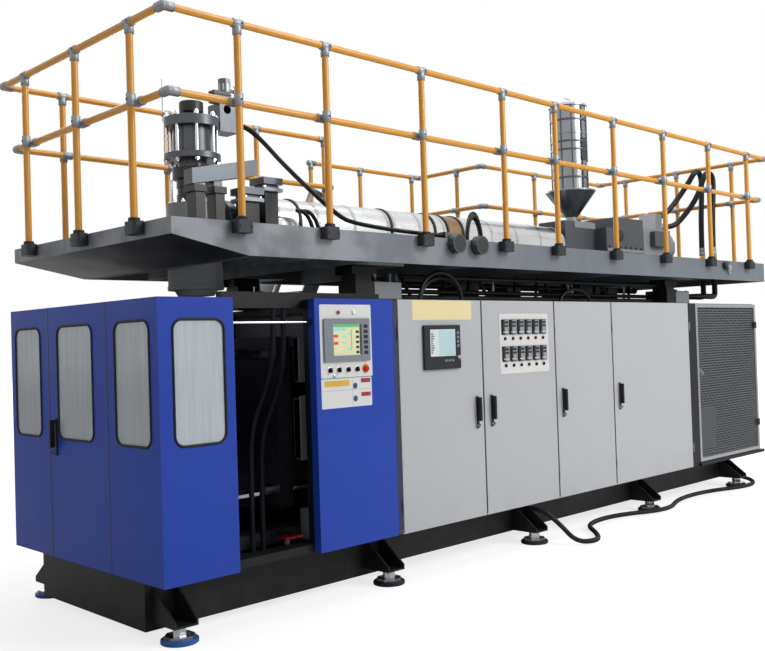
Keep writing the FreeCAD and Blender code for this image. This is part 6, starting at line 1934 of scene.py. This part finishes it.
# ---- platform: head ----
@dataclass
class Head:
    """Accumulator head with its cylinder, support arm, servo valve, cable fittings and side columns."""

    x: float = 0.85
    y: float = 0.915

    def bolts(self, shape: Shape, ring: float, level: float, rise: float, size: float, count: int,
              first: float = 0.0) -> None:
        """Ring of six-sided nuts with studs.

        Args:
            shape: where they are added.
            ring: radius of the ring.
            level: height of their seats.
            rise: height of the studs, below zero for hanging ones.
            size: radius of a nut.
            count: number of nuts.
            first: angle of the first one in degrees.
        """
        nut, stud = rise * 0.6, size * 0.55
        for x, y in around(self.x, self.y, ring, count, first):
            shape.lathe([(size, 0), (size, nut), (stud, nut), (stud, rise)], (x, y, level), sides=6)

    def make(self) -> None:
        """Build the head from the die to the cap."""
        c = (self.x, self.y, 0.0)
        drum = Shape().lathe(
            [(0.118, 1.945), (0.14, 1.98), (0.183, 1.983), (0.183, 2.008), (0.179, 2.012), (0.179, 2.305),
             (0.181, 2.31), (0.181, 2.335), (0.1785, 2.34), (0.1785, 2.42), (0.181, 2.425), (0.181, 2.452),
             (0.1785, 2.457), (0.1785, 2.545), (0.109, 2.546), (0.032, 2.546), (0.032, 1.945)], c, sides=56,
            ring=True)
        drum.make("head_drum", "platform", Finish.MOTOR_GREY, "motor_grey", ["die_head"])
        neck = Shape().lathe([(0.109, 2.546), (0.109, 2.61), (0.104, 2.614), (0.104, 2.65), (0.109, 2.654),
                              (0.109, 2.7), (0.134, 2.712), (0.134, 2.782), (0.092, 2.786), (0.032, 2.786),
                              (0.032, 2.546)], c, sides=48, ring=True)
        self.bolts(neck, 0.12, 2.782, 0.018, 0.011, 10)
        neck.make("head_neck", "platform", Finish.HEAD_DARK, "dark_steel", ["die_head"])
        fixings = Shape()
        self.bolts(fixings, 0.15, 2.545, 0.026, 0.014, 12)
        self.bolts(fixings, 0.165, 3.1145, 0.03, 0.017, 8, 22.5)
        self.bolts(fixings, 0.165, 2.8345, -0.022, 0.016, 8, 22.5)
        for px, py in around(self.x, self.y, 0.165, 8, 22.5):
            fixings.rod((px, py, 2.87), (px, py, 3.055), 0.0115, 20)
        for sx, sy in ((-0.02, -0.152), (0.045, -0.146), (-0.15, 0.03), (0.15, -0.03)):
            fixings.rod((self.x + sx, self.y + sy, 2.4), (self.x + sx, self.y + sy, 2.7), 0.0105, 16)
        fixings.make("head_rods", "platform", Finish.CHROME_UP, "bright_steel")
        body = Shape().lathe([(0.09, 2.786), (0.09, 2.834), (0.186, 2.836), (0.186, 2.873), (0.1795, 2.876),
                              (0.126, 2.877), (0.126, 3.048), (0.181, 3.051), (0.181, 3.113), (0.176, 3.1155),
                              (0.032, 3.1155), (0.032, 2.786)], c, sides=56, ring=True)
        body.make("head_barrel", "platform", Finish.HEAD_GREY, "dark_steel", ["head_cylinder"])
        cap = Shape().lathe([(0.032, 3.1155), (0.058, 3.1155), (0.058, 3.15), (0.079, 3.156), (0.079, 3.22),
                             (0.074, 3.2252), (0.032, 3.2252)], c, sides=44, ring=True)
        cap.make("head_cap", "platform", Finish.HEAD_DARK, "dark_steel", ["head_cylinder"])
        dress(Finish.CHROME_UP, "head_rod")
        self.supports()
        self.valve()
        self.fittings()

    def supports(self) -> None:
        """Wedge arm, its legs, and the two black columns with a pale flange."""
        dress(Finish.HEAD_GREY, "head_support")
        legs, caps, pads = Shape(), Shape(), Shape()
        for x0, x1, top in ((1.079, 1.191, 2.606), (1.239, 1.351, 2.686)):
            legs.block(x0, x1, 0.654, 0.766, 2.3055, top - 0.05)
            caps.block(x0 - 0.024, x1 + 0.024, 0.629, 0.791, top - 0.05, top - 0.024)
            legs.lathe([(0.046, 0), (0.05, 0.004), (0.05, 0.06), (0.042, 0.068)],
                       ((x0 + x1) / 2, 0.71, top - 0.024), sides=32)
            for dx in (-0.06, 0.06):
                pads.lathe([(0.012, 0), (0.012, 0.014)], ((x0 + x1) / 2 + dx, 0.65, top - 0.024), sides=6)
        for x in (0.455, 0.595):
            legs.block(x + 0.002, x + 0.07, 0.2985, 0.3915, 2.3055, 2.56)
            legs.block(x - 0.012, x + 0.08, 0.288, 0.402, 2.52, 2.562)
        legs.make("head_columns", "platform", Finish.HEAD_DARK, "dark_steel", bevel=0.003)
        caps.make("column_flanges", "platform", Finish.ZINC, "galvanised", bevel=0.003)
        pads.make("column_bolts", "platform", Finish.CHROME_UP, "bright_steel")

    def valve(self) -> None:
        """Servo valve: block, coil, connector, manual valve and thin feed pipe."""
        dress(Finish.HEAD_GREY, "servo_valve")
        coil = Shape().block(0.988, 1.122, 0.845, 0.915, 3.2405, 3.321)
        coil.lathe([(0.03, 0), (0.034, 0.004), (0.034, 0.05), (0.028, 0.056)], (1.09, 0.845, 3.2), Axis.Y, 24)
        for z in (3.255, 3.275, 3.295):
            coil.block(0.984, 1.126, 0.841, 0.919, z, z + 0.008)
        coil.make("valve_coil", "platform", Finish.HEAD_DARK, "dark_steel", bevel=0.002)
        plug = Shape().lathe([(0.034, 3.24), (0.0405, 3.246), (0.0405, 3.3), (0.032, 3.31), (0.032, 3.345),
                              (0.0405, 3.35), (0.0405, 3.395), (0.03, 3.4302)], (1.135, 0.935, 0.0), sides=28)
        plug.lathe([(0.02, 0), (0.02, 0.05), (0.026, 0.054), (0.026, 0.075)], (1.15, 0.935, 3.37), Axis.X, 20)
        plug.make("valve_plug", "platform", Finish.EDGE_SILVER, "valve_metal")
        pipe = Shape().rod((0.61, 0.87, 3.1155), (0.61, 0.87, 3.33), 0.0085, 14)
        pipe.make("vent_pipe", "platform", Finish.CHROME_UP, "bright_steel")

    def fittings(self) -> None:
        """Round cable connectors on the deck's edge, their hose bows, gland box and edge valve."""
        dark, bright, bows = Shape(), Shape(), Shape()
        for x in (2.315, 2.56):
            dark.lathe([(0.05, 0), (0.065, -0.006), (0.0655, -0.05), (0.056, -0.056), (0.06, -0.0602)],
                       (x, -0.06, 2.266), Axis.Y, 36)
        for step, (x, lift) in enumerate(((2.665, 0.185), (2.7, 0.215), (2.735, 0.185))):
            bows.tube(arch(x, 0.045 + 0.034 * step, 2.312, 0.08, lift), 0.0135, 12)
        for x in (1.5, 1.555):
            bows.tube(arch(x + 0.02, 0.64, 2.312, 0.13, 0.215, 1.75, 10), 0.014, 12)
        box = Shape().slab(rounded(2.24, 2.3, -0.05, 0.018, 0.004, 2), Axis.Z, 2.3052, 2.3492)
        box.make("gland_box", "platform", Finish.GEAR_GREY, "motor_grey", bevel=0.002)
        x = 6.35
        dark.lathe([(0.034, 0), (0.04, -0.004), (0.04, -0.034), (0.03, -0.04)], (x, -0.06, 2.258), Axis.Y, 28)
        bright.rod((x, -0.094, 2.258), (x + 0.06, -0.098, 2.205), 0.007, 12, 0.002)
        bright.rod((x + 0.03, -0.075, 2.245), (x + 0.095, -0.078, 2.175), 0.009, 12, 0.002)
        bright.block(x + 0.04, x + 0.1, -0.09, -0.0605, 2.215, 2.262)
        dark.make("edge_connectors", "platform", Finish.HEAD_DARK, "dark_steel", bevel=0.001)
        bright.make("edge_valve", "platform", Finish.EDGE_SILVER, "valve_metal", bevel=0.002)
        bows.make("pipe_bows", "platform", Finish.HOSE, "hose_black")


@dataclass
class UnderDeck:
    """Formed pipes, supports and fittings between the cabinets' roof and the deck."""

    roof: float = 1.882
    under: float = 2.115
    bows: Sequence[tuple[float, float]] = ((2.13, 0.205), (2.19, 0.17), (3.93, 0.12))

    def make(self) -> None:
        """Build the pipes and brackets."""
        pipes, dark, bright = Shape(), Shape(), Shape()
        for row, (x, rise) in enumerate(self.bows):
            bow = arch(x + 0.22, 0.105 + 0.05 * row, self.roof - 0.002, -0.22, rise, steps=16)
            pipes.tube(bow, 0.0145, 12)
        for y, z, radius in (
                (0.3, 1.915, 0.022), (0.36, 1.962, 0.018), (0.25, 2.06, 0.016), (0.47, 2.02, 0.026)):
            pipes.rod((2.12, y, z), (5.56, y, z), radius, 14, 0.004)
        for step in range(11):
            x = 2.32 + step * 0.29
            lean = 0.11 if step % 3 else -0.09
            pipes.rod((x, 0.34, self.roof - 0.002), (x + lean, 0.4, self.under - 0.021), 0.013, 12)
        for x0, x1, top in ((2.9, 3.16, 2.08), (3.52, 3.7, 2.02), (4.56, 4.88, 2.092), (5.02, 5.18, 2.04)):
            dark.block(x0, x1, 0.43, 0.64, self.roof - 0.001, top)
        for x in (2.16, 2.23, 3.32, 4.36, 4.42, 5.27):
            bright.rod((x, 0.42, self.roof - 0.001), (x, 0.42, self.under - 0.022), 0.011, 14)
        for x0, x1 in ((2.14, 2.26), (3.28, 3.4), (4.33, 4.45)):
            dark.block(x0, x1, 0.38, 0.47, self.roof - 0.001, self.roof + 0.06)
        pipes.make("roof_pipes", "base", Finish.HOSE, "hose_black")
        bright.make("roof_pins", "base", Finish.SCREW_STEEL, "bright_steel")
        dark.make("roof_brackets", "base", Finish.CAST_BLACK, "dark_steel", bevel=0.003)


def main() -> None:
    """Load the frame, build every sub-assembly in order and report each."""
    logging.basicConfig(level=logging.INFO, format="%(message)s")
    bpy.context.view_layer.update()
    for part in (Viewpoint(), Studio(), Hoses(), Footing(), MouldingBay(), Enclosure(), OperatorPanel(),
                 CabinetFronts(), HydraulicBay(), Lift(), GuardRail(), Extruder(), Head(), UnderDeck()):
        part.make()
        LOG.info("built %s", type(part).__name__)
    bpy.context.view_layer.update()


if __name__ == "__main__":
    main()
